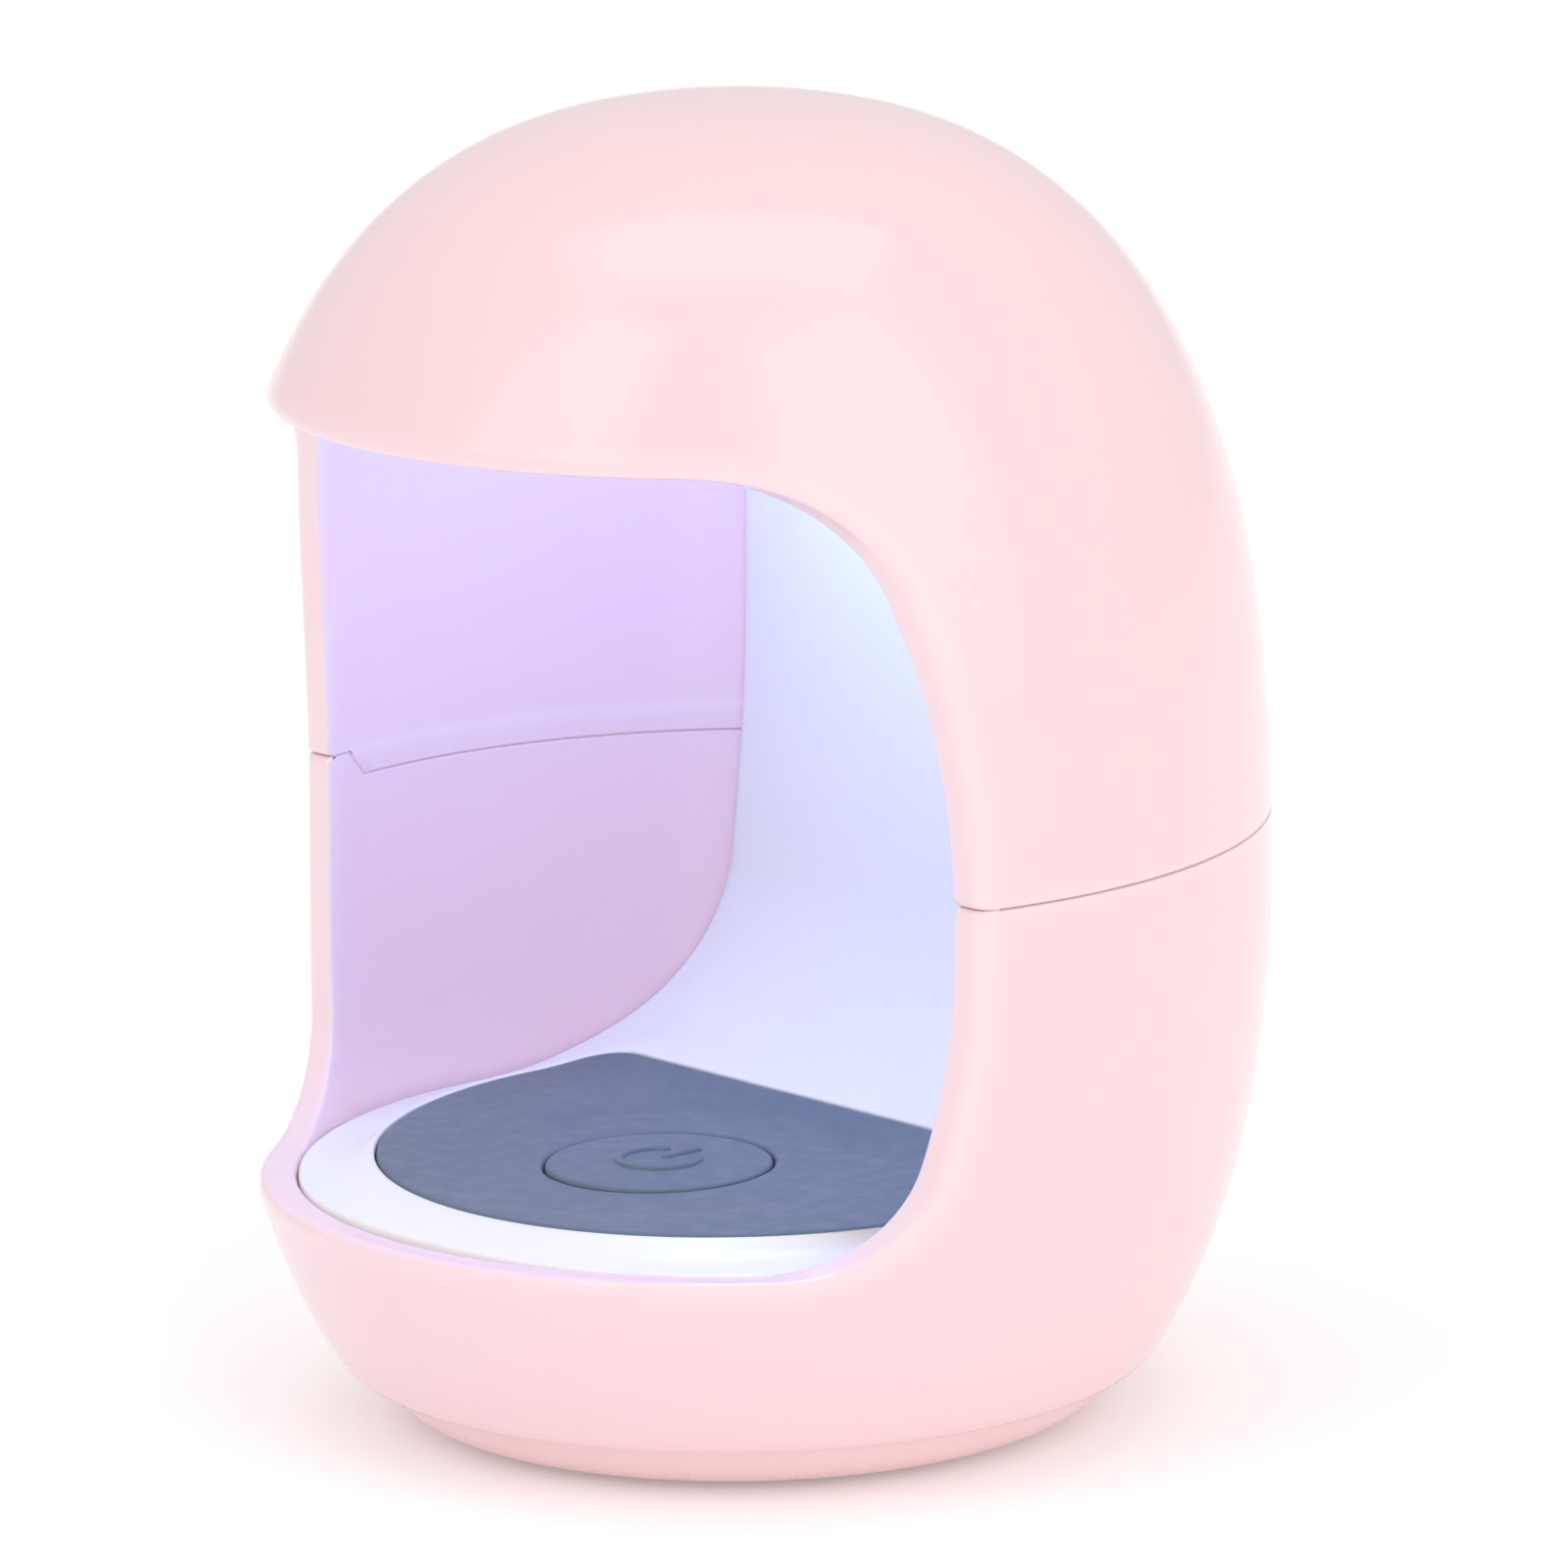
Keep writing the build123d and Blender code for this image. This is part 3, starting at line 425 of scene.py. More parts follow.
# %% [markdown]
# ## The lower shell
# The bowl is built the same way, but its skins end at the base: the outer one turns in
# under the shell and forms the flange that the bottom cover sits in. At the back a shallow
# recess lets the power plug in. The rows leave a gap there, and a patch that changes step
# by step from the gap's square outline to the recess's rounded one fills it.

# %% Sizes of the inlet
INLET_Z = (box_mm("socket_shell")[0].z + box_mm("socket_shell")[1].z) / 2
RECESS = (5.8, 3.5, 1.6)     # half width, half height, corner
RECESS_FLOOR = 22.9
SLOT = (4.0, 1.55, 0.8)
INLET_PAD = (7.0, 3.9, 0.3)
INLET_PAD_Y = 21.4
PAD_COVER = 0.7              # how much wall stays over the pad behind the inlet
PATCH_HALF_WIDTH = 7.4
PATCH_TOP, PATCH_LOW = 12.6, 3.55
FLANGE_HOLE = 16.4
FLANGE_TOP = 4.6
BASE_ROUND = 0.5


def rounded_half(shape, grow, shares):
    """Points x, z of the +X half of a rounded rectangle about the inlet, from its top to its bottom."""
    half_width, half_height, corner = shape[0] + grow, shape[1] + grow, shape[2] + grow
    flat, tall = half_width - corner, half_height - corner
    runs = np.array([flat, math.pi / 2 * corner, 2 * tall, math.pi / 2 * corner, flat])
    spots = []
    for share in shares:
        along = share * runs.sum()
        if along <= runs[0]:
            spots.append((along, half_height))
        elif along <= runs[:2].sum():
            turn = (along - runs[0]) / corner
            spots.append((flat + corner * math.sin(turn), tall + corner * math.cos(turn)))
        elif along <= runs[:3].sum():
            spots.append((half_width, tall - (along - runs[:2].sum())))
        elif along <= runs[:4].sum():
            turn = (along - runs[:3].sum()) / corner
            spots.append((flat + corner * math.cos(turn), -tall - corner * math.sin(turn)))
        else:
            spots.append((runs.sum() - along, -half_height))
    return np.array(spots) + (0, INLET_Z)


def at_depth(flat, y):
    """Points x, z placed at a depth y."""
    return np.stack([flat[:, 0], y + 0 * flat[:, 0], flat[:, 1]], axis=1)


def on_back(flat, sink=0.0, floor=None):
    """Points x, z laid on the outside at the back, sunk by sink but no deeper than floor."""
    y = np.sqrt(radius_at(OUTSIDE, flat[:, 1]) ** 2 - flat[:, 0] ** 2)
    if floor is not None:
        y = np.maximum(np.minimum(floor, y), y - sink)
    return at_depth(flat, y)


# %% Rows of the inlet's recess
def inlet_rows(border):
    """Rows from the gap's border over the recess and through the slot in the wall."""
    flat = border[:, [0, 2]]
    steps = np.linalg.norm(np.diff(flat, axis=0), axis=1)
    shares = np.concatenate([[0], np.cumsum(steps)]) / steps.sum()
    rim = rounded_half(RECESS, 0.3, shares)
    rows = [border]
    rows += [on_back(flat + (rim - flat) * share) for share in (0.25, 0.5, 0.75, 1)]
    for grow, sink in ((0.13, 0.04), (0.04, 0.13), (0, 0.3), (0, 99)):
        rows.append(on_back(rounded_half(RECESS, grow, shares), sink, RECESS_FLOOR + 0.2 * (sink == 0)))
    rows.append(on_back(rounded_half(RECESS, -0.2, shares), 99, RECESS_FLOOR))
    start, stop = rounded_half(RECESS, -0.2, shares), rounded_half(SLOT, 0.2, shares)
    for share in np.linspace(0, 1, 9)[1:]:
        rows.append(on_back(start + (stop - start) * share, 99, RECESS_FLOOR))
    mouth = rows[-1]
    for grow, depth in ((0.06, 0.06), (0, 0.2)):
        rows.append(at_depth(rounded_half(SLOT, grow, shares), mouth[:, 1] - depth))
    for shape, y in ((SLOT, INLET_PAD_Y), (INLET_PAD, INLET_PAD_Y), (INLET_PAD, RECESS_FLOOR)):
        outline = rounded_half(shape, 0, shares)
        rows.append(at_depth(outline, np.minimum(y, on_back(outline)[:, 1] - PAD_COVER)))
    return rows


# %% Make the lower shell
last_outer = length_at(OUTSIDE, SHELL_BOTTOM + BASE_ROUND)
last_inner = length_at(INSIDE, FLANGE_TOP)
skin, outer_side, outer_far, inner_side, inner_far = shell_half(-1, last_outer, last_inner)
skin.grid(outer_side)
skin.grid(inner_side)
skin.grid(inner_far)
back_z = np.array([row[0][2] for row in outer_far])
first_row = int(np.argmax(back_z < PATCH_TOP))
last_row = int(np.argmax(back_z < PATCH_LOW)) - 1
last_column = int(np.argmax(outer_far[first_row][:, 0] > PATCH_HALF_WIDTH))
skin.grid(outer_far, skip=lambda r, c: first_row <= r < last_row and c < last_column)
gap_border = [outer_far[first_row][c] for c in range(last_column)]
gap_border += [outer_far[r][last_column] for r in range(first_row, last_row)]
gap_border += [outer_far[last_row][c] for c in range(last_column, -1, -1)]
skin.grid(inlet_rows(np.array(gap_border)))
turn = np.arctan2(outer_far[-1][:, 0], outer_far[-1][:, 1])
base_r = OUTSIDE[0][0]
under = [around(base_r - back, turn, SHELL_BOTTOM + up)
         for back, up in ((0.03, 0.2), (0.15, 0.06), (BASE_ROUND, 0))]
turn = np.arctan2(inner_far[-1][:, 0], inner_far[-1][:, 1])
flange = [around(FLANGE_HOLE + back, turn, z) for back, z in
          ((0.15, SHELL_BOTTOM), (0, SHELL_BOTTOM + 0.15), (0, FLANGE_TOP - 0.15), (0.15, FLANGE_TOP))]
skin.grid([outer_far[-1], *under, *flange, inner_far[-1]])
lower_shell = make_piece("lower_shell_skin", skin.mirrored())
print("lower shell:", len(lower_shell.data.polygons), "faces, inlet gap rows", first_row, last_row)

# %% [markdown]
# ## Turned parts
# The plinth, the foot pad, the button and the LED lenses are all round. Each is a profile
# turned about its axis, as on a lathe. A helper softens the profile's corners first,
# because a moulded part never has a perfectly sharp one.

# %% Helpers for turned parts
def soften(corners, steps=5):
    """Profile points from corners given as radius, height and how much each is rounded."""
    points = []
    for i, (r, z, rounding) in enumerate(corners):
        here = np.array((r, z))
        if rounding == 0 or i in (0, len(corners) - 1):
            points.append(here)
            continue
        back = np.array(corners[i - 1][:2]) - here
        on = np.array(corners[i + 1][:2]) - here
        start = here + back / np.linalg.norm(back) * rounding
        stop = here + on / np.linalg.norm(on) * rounding
        points += [start, *bend(start, here, stop, steps), stop]
    return points


def turned(skin, profile, centre=(0, 0), steps=128):
    """Turns a profile of radius and height about an upright axis."""
    turn = np.linspace(0, 2 * math.pi, steps + 1)
    skin.grid([around(r, turn, z) + (centre[0], centre[1], 0) for r, z in profile])
    return skin


def three_places(radius):
    """Three places a third of a turn apart, with one at the back."""
    return [(radius * math.cos(math.radians(a)), radius * math.sin(math.radians(a))) for a in (90, 210, 330)]


# %% [markdown]
# ## Plinth and foot pad
# The lamp stands on a slightly darker pink plinth, clipped up into the lower shell. Its
# lower edge is one generous quarter round. A foam pad is stuck into its underside and
# carries the weight, so that the lamp doesn't slide on a glass table.

# %% Make the bottom cover and its foot pad
cover_low, cover_high = box_mm("bottom_cover")
foot_r = box_mm("foot_pad")[1].x
foot_top = box_mm("foot_pad")[1].z
RING_R = 16.2
RING_INNER_R = 15.0
COVER_FLOOR = 2.5
PLINTH_ROUND = 3.9
FOOT_GAP = 0.2
quarter_turn = math.acos(1 - (SHELL_BOTTOM - cover_low.z) / PLINTH_ROUND)
quarter = [(RING_R + PLINTH_ROUND * math.sin(a), cover_low.z + PLINTH_ROUND * (1 - math.cos(a)))
           for a in np.linspace(0, 1, 15) * quarter_turn]
inner_line = soften([(RING_R, SHELL_BOTTOM, 0), (RING_R, cover_high.z, 0.3),
                     (RING_INNER_R, cover_high.z, 0.3), (RING_INNER_R, COVER_FLOOR, 0.3),
                     (0, COVER_FLOOR, 0)])
recess_line = soften([(0, foot_top, 0), (foot_r + FOOT_GAP, foot_top, 0.1),
                      (foot_r + FOOT_GAP, cover_low.z, 0.15), (RING_R, cover_low.z, 0)])
cover_skin = turned(Skin(), recess_line + quarter[1:] + inner_line, steps=180)
bottom_cover = make_piece("plinth_cover", cover_skin)
foot_line = soften([(0, foot_top, 0), (foot_r, foot_top, 0.1), (foot_r, 0, 0.25), (0, 0, 0)])
foot_pad = make_piece("foam_foot", turned(Skin(), foot_line, steps=160))
print(f"plinth radius {cover_high.x:.2f}, rounded by {PLINTH_ROUND}")

# %% [markdown]
# ## The tray
# One white moulding makes the floor and the back wall. Seen from the side it is a level
# floor and three arcs, each leaving the last one in the same direction. The sheet is
# planned flat, as width against length along that curve, and then wrapped onto it, so
# its points stay even where it curves up.

# %% Curve of the tray
TRAY_THICK = 1.2
TRAY_ENDS = [(1.5, FLOOR_Z), (10.0, 15.2), (16.4, 24.2), (15.2, box_mm("tray_liner")[1].z)]
FIT_GAP = 0.2


def tangent_arc(start, heading, stop, count=60):
    """Points of the arc that leaves start along heading and ends at stop."""
    start, stop, heading = np.array(start), np.array(stop), np.array(heading)
    normal = np.array((-heading[1], heading[0]))
    chord = stop - start
    radius = chord @ chord / (2 * chord @ normal)
    centre = start + normal * radius
    turn = 2 * math.atan2(chord @ normal, chord @ heading)
    rows = []
    for angle in np.linspace(0, turn, count):
        way = heading * math.cos(angle) + normal * math.sin(angle)
        rows.append((*(centre - radius * np.array((-way[1], way[0]))), *way))
    return rows


def tray_table():
    """Length along the tray's face, and y, z and the direction off the face at each point."""
    front = -radius_at(INSIDE, FLOOR_Z)
    rows = [(y, FLOOR_Z, 1.0, 0.0) for y in np.linspace(front, TRAY_ENDS[0][0], 40)]
    for start, stop in zip(TRAY_ENDS, TRAY_ENDS[1:]):
        rows += tangent_arc(start, rows[-1][2:], stop)[1:]
    y, z, hy, hz = np.array(rows).T
    along = front + np.concatenate([[0], np.cumsum(np.hypot(np.diff(y), np.diff(z)))])
    return along, y, z, -hz, hy


TRAY = tray_table()


def on_tray(flat, lift):
    """Wraps points of width and length onto the tray, raised off its face by lift."""
    y, z, ny, nz = (np.interp(flat[:, 1], TRAY[0], column) for column in TRAY[1:])
    return np.stack([flat[:, 0], y + lift * ny, z + lift * nz], axis=1)


def even(points, count):
    """The same line with count evenly spaced steps."""
    points = np.array(points, float)
    steps = np.linalg.norm(np.diff(points, axis=0), axis=1)
    along = np.concatenate([[0], np.cumsum(steps)])
    spread = np.linspace(0, along[-1], count + 1)
    return np.stack([np.interp(spread, along, column) for column in points.T], axis=1)


# %% Outline of the tray, and its hole
TRAY_STEPS = 150
BUTTON_Y = (box_mm("press_button")[0].y + box_mm("press_button")[1].y) / 2
TRAY_HOLE = 6.3
LINING = egg_outline(WALL + FIT_GAP)


def half_circle(radius, count):
    """Half circle about the button, in width and length, from its front to its back."""
    turn = np.linspace(0, math.pi, count + 1)
    return np.stack([radius * np.sin(turn), BUTTON_Y - radius * np.cos(turn)], axis=1)


def tray_border(inset):
    """The tray's outline in width and length, from its front round to its top."""
    front = -radius_at(LINING, FLOOR_Z) + inset
    turn = np.linspace(math.pi, 0, 400)
    lengths = front + (TRAY[0][-1] - inset - front) * (1 + np.cos(turn)) / 2
    y, z = np.interp(lengths, TRAY[0], TRAY[1]), np.interp(lengths, TRAY[0], TRAY[2])
    width = np.sqrt(((radius_at(LINING, z) - inset) ** 2 - y**2).clip(0))
    return even(np.concatenate([np.stack([width, lengths], axis=1), [(0, lengths[-1])]]), TRAY_STEPS)


# %% [markdown]
# ## The pad's place in the tray
# The silicone pad doesn't lie on top of the tray. It sits in a shallow pocket, level with
# a raised surround that falls away to the walls, and both slope a little down to the
# front. One outline, grown or shrunk, draws the pad's edge and the pocket's edge alike.

# %% Outline and height of the pad
PAD_TRIM = 0.3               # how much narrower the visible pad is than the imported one
PAD_R = box_mm("finger_pad")[1].x - PAD_TRIM
PAD_REAR = box_mm("finger_pad")[1].y
PAD_CORNER = 3.0
PAD_THICK = 1.2
FRONT_FALL = 0.012           # slope down to the front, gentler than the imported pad's
SURROUND_REACH = 6.5         # how far out the surround falls away
SURROUND_DROP = 0.05         # how far below the pad's face the surround lies beside it
POCKET_GAP = 0.1
LIP_ROUND = 0.25             # softening of the pocket's lip and of the tray's edge
BEND_START = TRAY_ENDS[0][0]


def pad_outline(grow):
    """The pad's outline in width and length, from its front round to its rear edge."""
    radius, rear, corner = PAD_R + grow, PAD_REAR + grow, PAD_CORNER + grow
    corner_y = rear - corner
    corner_x = math.sqrt((radius - corner) ** 2 - corner_y**2)
    meet = math.atan2(corner_y, corner_x)
    front = [(radius * math.cos(a), radius * math.sin(a)) for a in np.linspace(-math.pi / 2, meet, 300)]
    turn = [(corner_x + corner * math.cos(a), corner_y + corner * math.sin(a))
            for a in np.linspace(meet, math.pi / 2, 60)]
    plan = np.array(front + turn[1:] + [(0, rear)])
    plan[:, 1] = np.interp(plan[:, 1], TRAY[1], TRAY[0])
    return even(plan, TRAY_STEPS)


def smooth_step(value):
    value = np.clip(value, 0, 1)
    return value * value * (3 - 2 * value)


def pad_level(flat):
    """Height of the pad's face above the tray's floor."""
    return PAD_THICK - FRONT_FALL * np.clip(BEND_START - flat[:, 1], 0, None)


# %% Make the tray
pocket, pocket_lip = pad_outline(POCKET_GAP), pad_outline(POCKET_GAP + LIP_ROUND)
rim, brim = tray_border(LIP_ROUND), tray_border(0)
hole = half_circle(TRAY_HOLE, TRAY_STEPS)


def surround_level(flat):
    """The surround's height: level with the pad beside it, none at the wall."""
    away = np.linalg.norm(flat - pocket, axis=1)
    return (pad_level(pocket) - SURROUND_DROP) * (1 - smooth_step(away / SURROUND_REACH))


rows = [on_tray(hole + (pocket - hole) * share, 0) for share in np.linspace(0, 1, 12)]
for out, down in ((0, LIP_ROUND), (0.1, 0.1), (0.35, 0.03)):
    flat = pocket + (pocket_lip - pocket) * out
    rows.append(on_tray(flat, surround_level(flat) - down))
for share in np.linspace(0, 1, 64) ** 1.3:
    flat = pocket_lip + (rim - pocket_lip) * share
    rows.append(on_tray(flat, surround_level(flat)))
for out, down in ((0.6, 0.04), (0.9, 0.1), (1, LIP_ROUND)):
    flat = rim + (brim - rim) * out
    rows.append(on_tray(flat, surround_level(flat) - down))
rows += [on_tray(hole + (brim - hole) * share, -TRAY_THICK) for share in np.linspace(1, 0, 40)]
skin = Skin()
skin.grid(rows + [rows[0]])
tray_skin = skin.mirrored()
LEG_R, LEG_BORE, LEG_CIRCLE = 2.3, 1.0, 12.6
leg_low, leg_top = box_mm("tray_liner")[0].z, FLOOR_Z - TRAY_THICK
leg = soften([(LEG_BORE, leg_top, 0), (LEG_BORE, leg_low, 0.1), (LEG_R, leg_low, 0.3), (LEG_R, leg_top, 0)])
for place in three_places(LEG_CIRCLE):
    turned(tray_skin, leg, place, steps=32)
tray = make_piece("white_tray", tray_skin)
print("tray:", len(tray.data.polygons), "faces, length along the curve", round(TRAY[0][-1] - TRAY[0][0], 1))

# %% [markdown]
# ## The silicone pad
# The pad is cast a little over 1 mm thick, so it follows the tray. Its face has a soft
# shallow dish round the button that guides the fingertip: a smooth step in height, with
# no edge, which only the gloss gives away.

# %% Make the pad
PAD_HOLE = 6.12
DISH_R = 11.4
DISH_DEPTH = 0.14
DISH_SLOPE = 3.0             # width of the step between the dish and the pad's face
PAD_ROUND = 0.3


def pad_top(flat):
    """Height of the pad's face: lower inside the dish."""
    away = np.hypot(flat[:, 0], flat[:, 1] - BUTTON_Y)
    return pad_level(flat) - DISH_DEPTH * (1 - smooth_step((away - DISH_R + DISH_SLOPE / 2) / DISH_SLOPE))


hole, groove = half_circle(PAD_HOLE, TRAY_STEPS), half_circle(PAD_HOLE + PAD_ROUND, TRAY_STEPS)
top_edge = pad_outline(-PAD_ROUND)
rows = [on_tray(hole, 0.05), on_tray(hole, pad_top(hole) - PAD_ROUND)]
for out, down in ((0.15, 0.12), (0.5, 0.03)):
    rows.append(on_tray(hole + (groove - hole) * out, pad_top(hole) - down))
for share in np.linspace(0, 1, 50):
    flat = groove + (top_edge - groove) * share
    rows.append(on_tray(flat, pad_top(flat)))
for shrink, down in ((-0.15, 0.04), (-0.04, 0.13), (0, PAD_ROUND)):
    flat = pad_outline(shrink)
    rows.append(on_tray(flat, pad_level(flat) - down))
rows += [on_tray(pad_outline(0), 0.02), rows[0]]
skin = Skin()
skin.grid(rows)
pad = make_piece("silicone_pad", skin.mirrored(), sharp=60)
print("pad:", len(pad.data.polygons), "faces")

# %% [markdown]
# ## The press button
# The button is cast in the same grey silicone. Its top is very slightly crowned and it
# carries a raised mark, so that a finger finds it without looking. Here the mark is the
# plain sign for switching on: a ring, open at the top, with a bar. It is swept as a
# round cord that is half sunk in the button.

# %% Make the button
button_low, button_high = box_mm("press_button")
BUTTON_R = button_high.x
BUTTON_CROWN = 0.12
crown = [(r, button_high.z - BUTTON_CROWN * (r / BUTTON_R) ** 2, 0) for r in (0, 1.5, 3.0, 4.5)]
button_rim = [(BUTTON_R, button_high.z - BUTTON_CROWN, 0.3), (BUTTON_R, button_low.z, 0)]
button_line = soften([*crown, *button_rim], steps=6)
button = make_piece("press_button_cap", turned(Skin(), button_line, (0, BUTTON_Y), steps=120), sharp=60)


def cord_mark(skin, points, radius, sides=12):
    """A round cord with domed ends along a flat line of points."""
    points = np.array(points, float)
    ahead = np.gradient(points, axis=0)
    ahead /= np.linalg.norm(ahead, axis=1, keepdims=True)
    caps = [*(math.sin(a) for a in (0.35, 0.7, 1.05)), 1]

    def dome(end, way):
        """Ever smaller rings past one end of the line."""
        return [(points[end] + way * ahead[end] * radius * c, radius * math.sqrt(1 - c * c), ahead[end])
                for c in caps]

    stations = dome(0, -1)[::-1] + [(p, radius, h) for p, h in zip(points, ahead)] + dome(-1, 1)
    rows = []
    for place, size, heading in stations:
        aside = np.array((-heading[1], heading[0], 0))
        ring = [place + size * (math.cos(a) * aside + math.sin(a) * np.array((0, 0, 1)))
                for a in np.linspace(0, 2 * math.pi, sides + 1)]
        rows.append(np.array(ring))
    skin.grid(rows)


MARK_R = 2.1
MARK_CORD = 0.26
MARK_SINK = 0.08
MARK_OPEN = math.radians(38)
MARK_BAR = (0.5, 2.7)
mark_z = button_high.z - MARK_SINK
mark = Skin()
ring = [(MARK_R * math.sin(a), BUTTON_Y + MARK_R * math.cos(a), mark_z)
        for a in np.linspace(MARK_OPEN, 2 * math.pi - MARK_OPEN, 48)]
cord_mark(mark, ring, MARK_CORD)
cord_mark(mark, [(0, BUTTON_Y + y, mark_z) for y in np.linspace(*MARK_BAR, 10)], MARK_CORD)
button_mark = make_piece("press_button_mark", mark, sharp=80, weld=0.0005)
print("button mark:", len(button_mark.data.polygons), "faces")

# %% [markdown]
# ## The ceiling and the lamp head
# Above the finger a white ceiling hides the LED board. Its three holes are flared like
# small funnels, so that the light spreads. A flat plate with holes is easiest as a filled
# curve: Blender finds which loops are holes, and the bevel softens every rim at once.

# %% Helper for flat plates
def loop_round(radius, centre, steps, way=1):
    """A ring of points; way -1 runs it backwards, as a hole does."""
    turn = np.linspace(0, way * 2 * math.pi, steps, endpoint=False)
    return [(centre[0] + radius * math.cos(a), centre[1] + radius * math.sin(a)) for a in turn]


def plate(name, loops, low, high, rounding):
    """A level plate between two heights; the first loop is its outline and the others are holes."""
    curve = bpy.data.curves.new(name, "CURVE")
    curve.dimensions = "2D"
    curve.fill_mode = "BOTH"
    curve.bevel_depth = rounding * MM
    curve.bevel_resolution = 2
    curve.offset = -rounding * MM
    curve.extrude = ((high - low) / 2 - rounding) * MM
    for loop in loops:
        line = curve.splines.new("POLY")
        line.points.add(len(loop) - 1)
        for point, (x, y) in zip(line.points, loop):
            point.co = (x * MM, y * MM, 0, 1)
        line.use_cyclic_u = True
    blank = bpy.data.objects.new(name + "_outline", curve)
    mesh = bpy.data.meshes.new_from_object(blank)
    bpy.data.objects.remove(blank)
    mesh.transform(Matrix.Translation((0, 0, (low + high) / 2 * MM)))
    mesh.shade_smooth()
    mesh.set_sharp_from_angle(angle=math.radians(35))
    return put(name, mesh)


# %% Make the ceiling and its funnels
CEILING_THICK = 1.2
LED_PLACES = [sum(box_mm(f"uv_led_{n}"), Vector()) / 2 for n in (1, 2, 3)]
LED_PLACES = [(p.x, p.y) for p in LED_PLACES]
SCREW_CIRCLE, SCREW_HOLE = 11.0, 1.15
FUNNEL_WIDE, FUNNEL_NARROW = 3.6, 2.6
ceiling_r = radius_at(LINING, CEILING_Z + CEILING_THICK)
NOTCH_X = (-9.5, -4.5)       # where the wires pass, at the back
NOTCH_Y = 16.4
outline = [(x, y) for x, y in loop_round(ceiling_r, (0, 0), 160)
           if not (NOTCH_X[0] < x < NOTCH_X[1] and y > 0)]
cut_at = next(i for i, (x, y) in enumerate(outline) if y > 0 and x < NOTCH_X[0])
outline[cut_at:cut_at] = [(NOTCH_X[1], NOTCH_Y), (NOTCH_X[0], NOTCH_Y)]
holes = [loop_round(FUNNEL_WIDE, place, 48, -1) for place in LED_PLACES]
holes += [loop_round(SCREW_HOLE, place, 24, -1) for place in three_places(SCREW_CIRCLE)]
ceiling = plate("white_ceiling", [outline, *holes], CEILING_Z, CEILING_Z + CEILING_THICK, 0.12)
skin = Skin()
for place in LED_PLACES:
    funnel = [(FUNNEL_WIDE + 0.02, CEILING_Z + 0.1), (FUNNEL_NARROW + 0.1, CEILING_Z + 1.0),
              (FUNNEL_NARROW, CEILING_Z + 1.15), (FUNNEL_NARROW, CEILING_Z + CEILING_THICK)]
    turned(skin, funnel, place, steps=48)
funnels = make_piece("light_funnels", skin)
print(f"ceiling radius {ceiling_r:.2f}, three funnels at", np.round(LED_PLACES, 1).tolist())

# %% [markdown]
# ## The LEDs
# Each LED is a small square ceramic carrier with a metal ring and a clear silicone dome
# that points down. The carrier and the dome are separate pieces here, since one is dull
# and white and the other glows.

# %% Make the LEDs
LED_SIZE = box_mm("uv_led_1")[1].x - box_mm("uv_led_1")[0].x
carrier_top = box_mm("uv_led_1")[1].z
LENS_R = 1.5
carrier_low = box_mm("uv_led_1")[0].z + LENS_R
carriers, lenses = [], []
for number, (x, y) in enumerate(LED_PLACES, start=1):
    half = LED_SIZE / 2
    square = [(x - half, y - half), (x + half, y - half), (x + half, y + half), (x - half, y + half)]
    carriers.append(plate(f"led_carrier_{number}", [square], carrier_low, carrier_top, 0.12))
    dome = [(LENS_R * math.cos(a), carrier_low - LENS_R * math.sin(a))
            for a in np.linspace(0, math.pi / 2, 16)]
    dome = [(LENS_R + 0.15, carrier_low - 0.02), (LENS_R + 0.12, carrier_low - 0.12), *dome]
    lenses.append(make_piece(f"led_dome_{number}", turned(Skin(), dome, (x, y), steps=40)))
print("LED domes reach down to", round(carrier_low - LENS_R, 2))

# %% [markdown]
# ## The inlet
# The socket's shell is bent from thin sheet steel, so its mouth has a tiny rolled edge.
# Inside stands a plastic tongue with five gilt contacts on its underside.

# %% Make the inlet's shell and contacts
socket_low, socket_high = box_mm("socket_shell")
half = ((socket_high.x - socket_low.x) / 2, (socket_high.z - socket_low.z) / 2)
shares = np.linspace(0, 1, 60)
outer_loop, inner_loop = rounded_half((*half, 0.7), 0, shares), rounded_half((*half, 0.7), -0.3, shares)


mouth = socket_high.y
rows = [at_depth(inner_loop, socket_low.y), at_depth(inner_loop, mouth - 0.12)]
for share, back in ((0.15, 0.03), (0.5, 0), (0.85, 0.03)):
    rows.append(at_depth(inner_loop + (outer_loop - inner_loop) * share, mouth - back))
rows += [at_depth(outer_loop, mouth - 0.12), at_depth(outer_loop, socket_low.y)]
rows.append(rows[0])
skin = Skin()
skin.grid(rows)
socket = make_piece("inlet_shell", skin.mirrored())
CONTACT_HALF, CONTACT_REAR, CONTACT_SPAN = 0.17, 18.7, 1.3
contact_end = box_mm("socket_tongue")[1].y - 0.25
contacts_outline = [[(x - CONTACT_HALF, CONTACT_REAR), (x + CONTACT_HALF, CONTACT_REAR),
                     (x + CONTACT_HALF, contact_end), (x - CONTACT_HALF, contact_end)]
                    for x in np.linspace(-CONTACT_SPAN, CONTACT_SPAN, 5)]
contact_z = INLET_Z + 0.2 - 0.3
contacts = plate("inlet_contacts", contacts_outline, contact_z - 0.07, contact_z + 0.02, 0.02)
print("inlet mouth at y", round(mouth, 2))

# %% [markdown]
# ## Finishes
# Every finish is worked out from noise in the object's own coordinates, in metres, so a
# scale of 1000 repeats about every millimetre. A value that is the same all over is set
# on the shader itself. Only what changes over the surface comes through nodes.

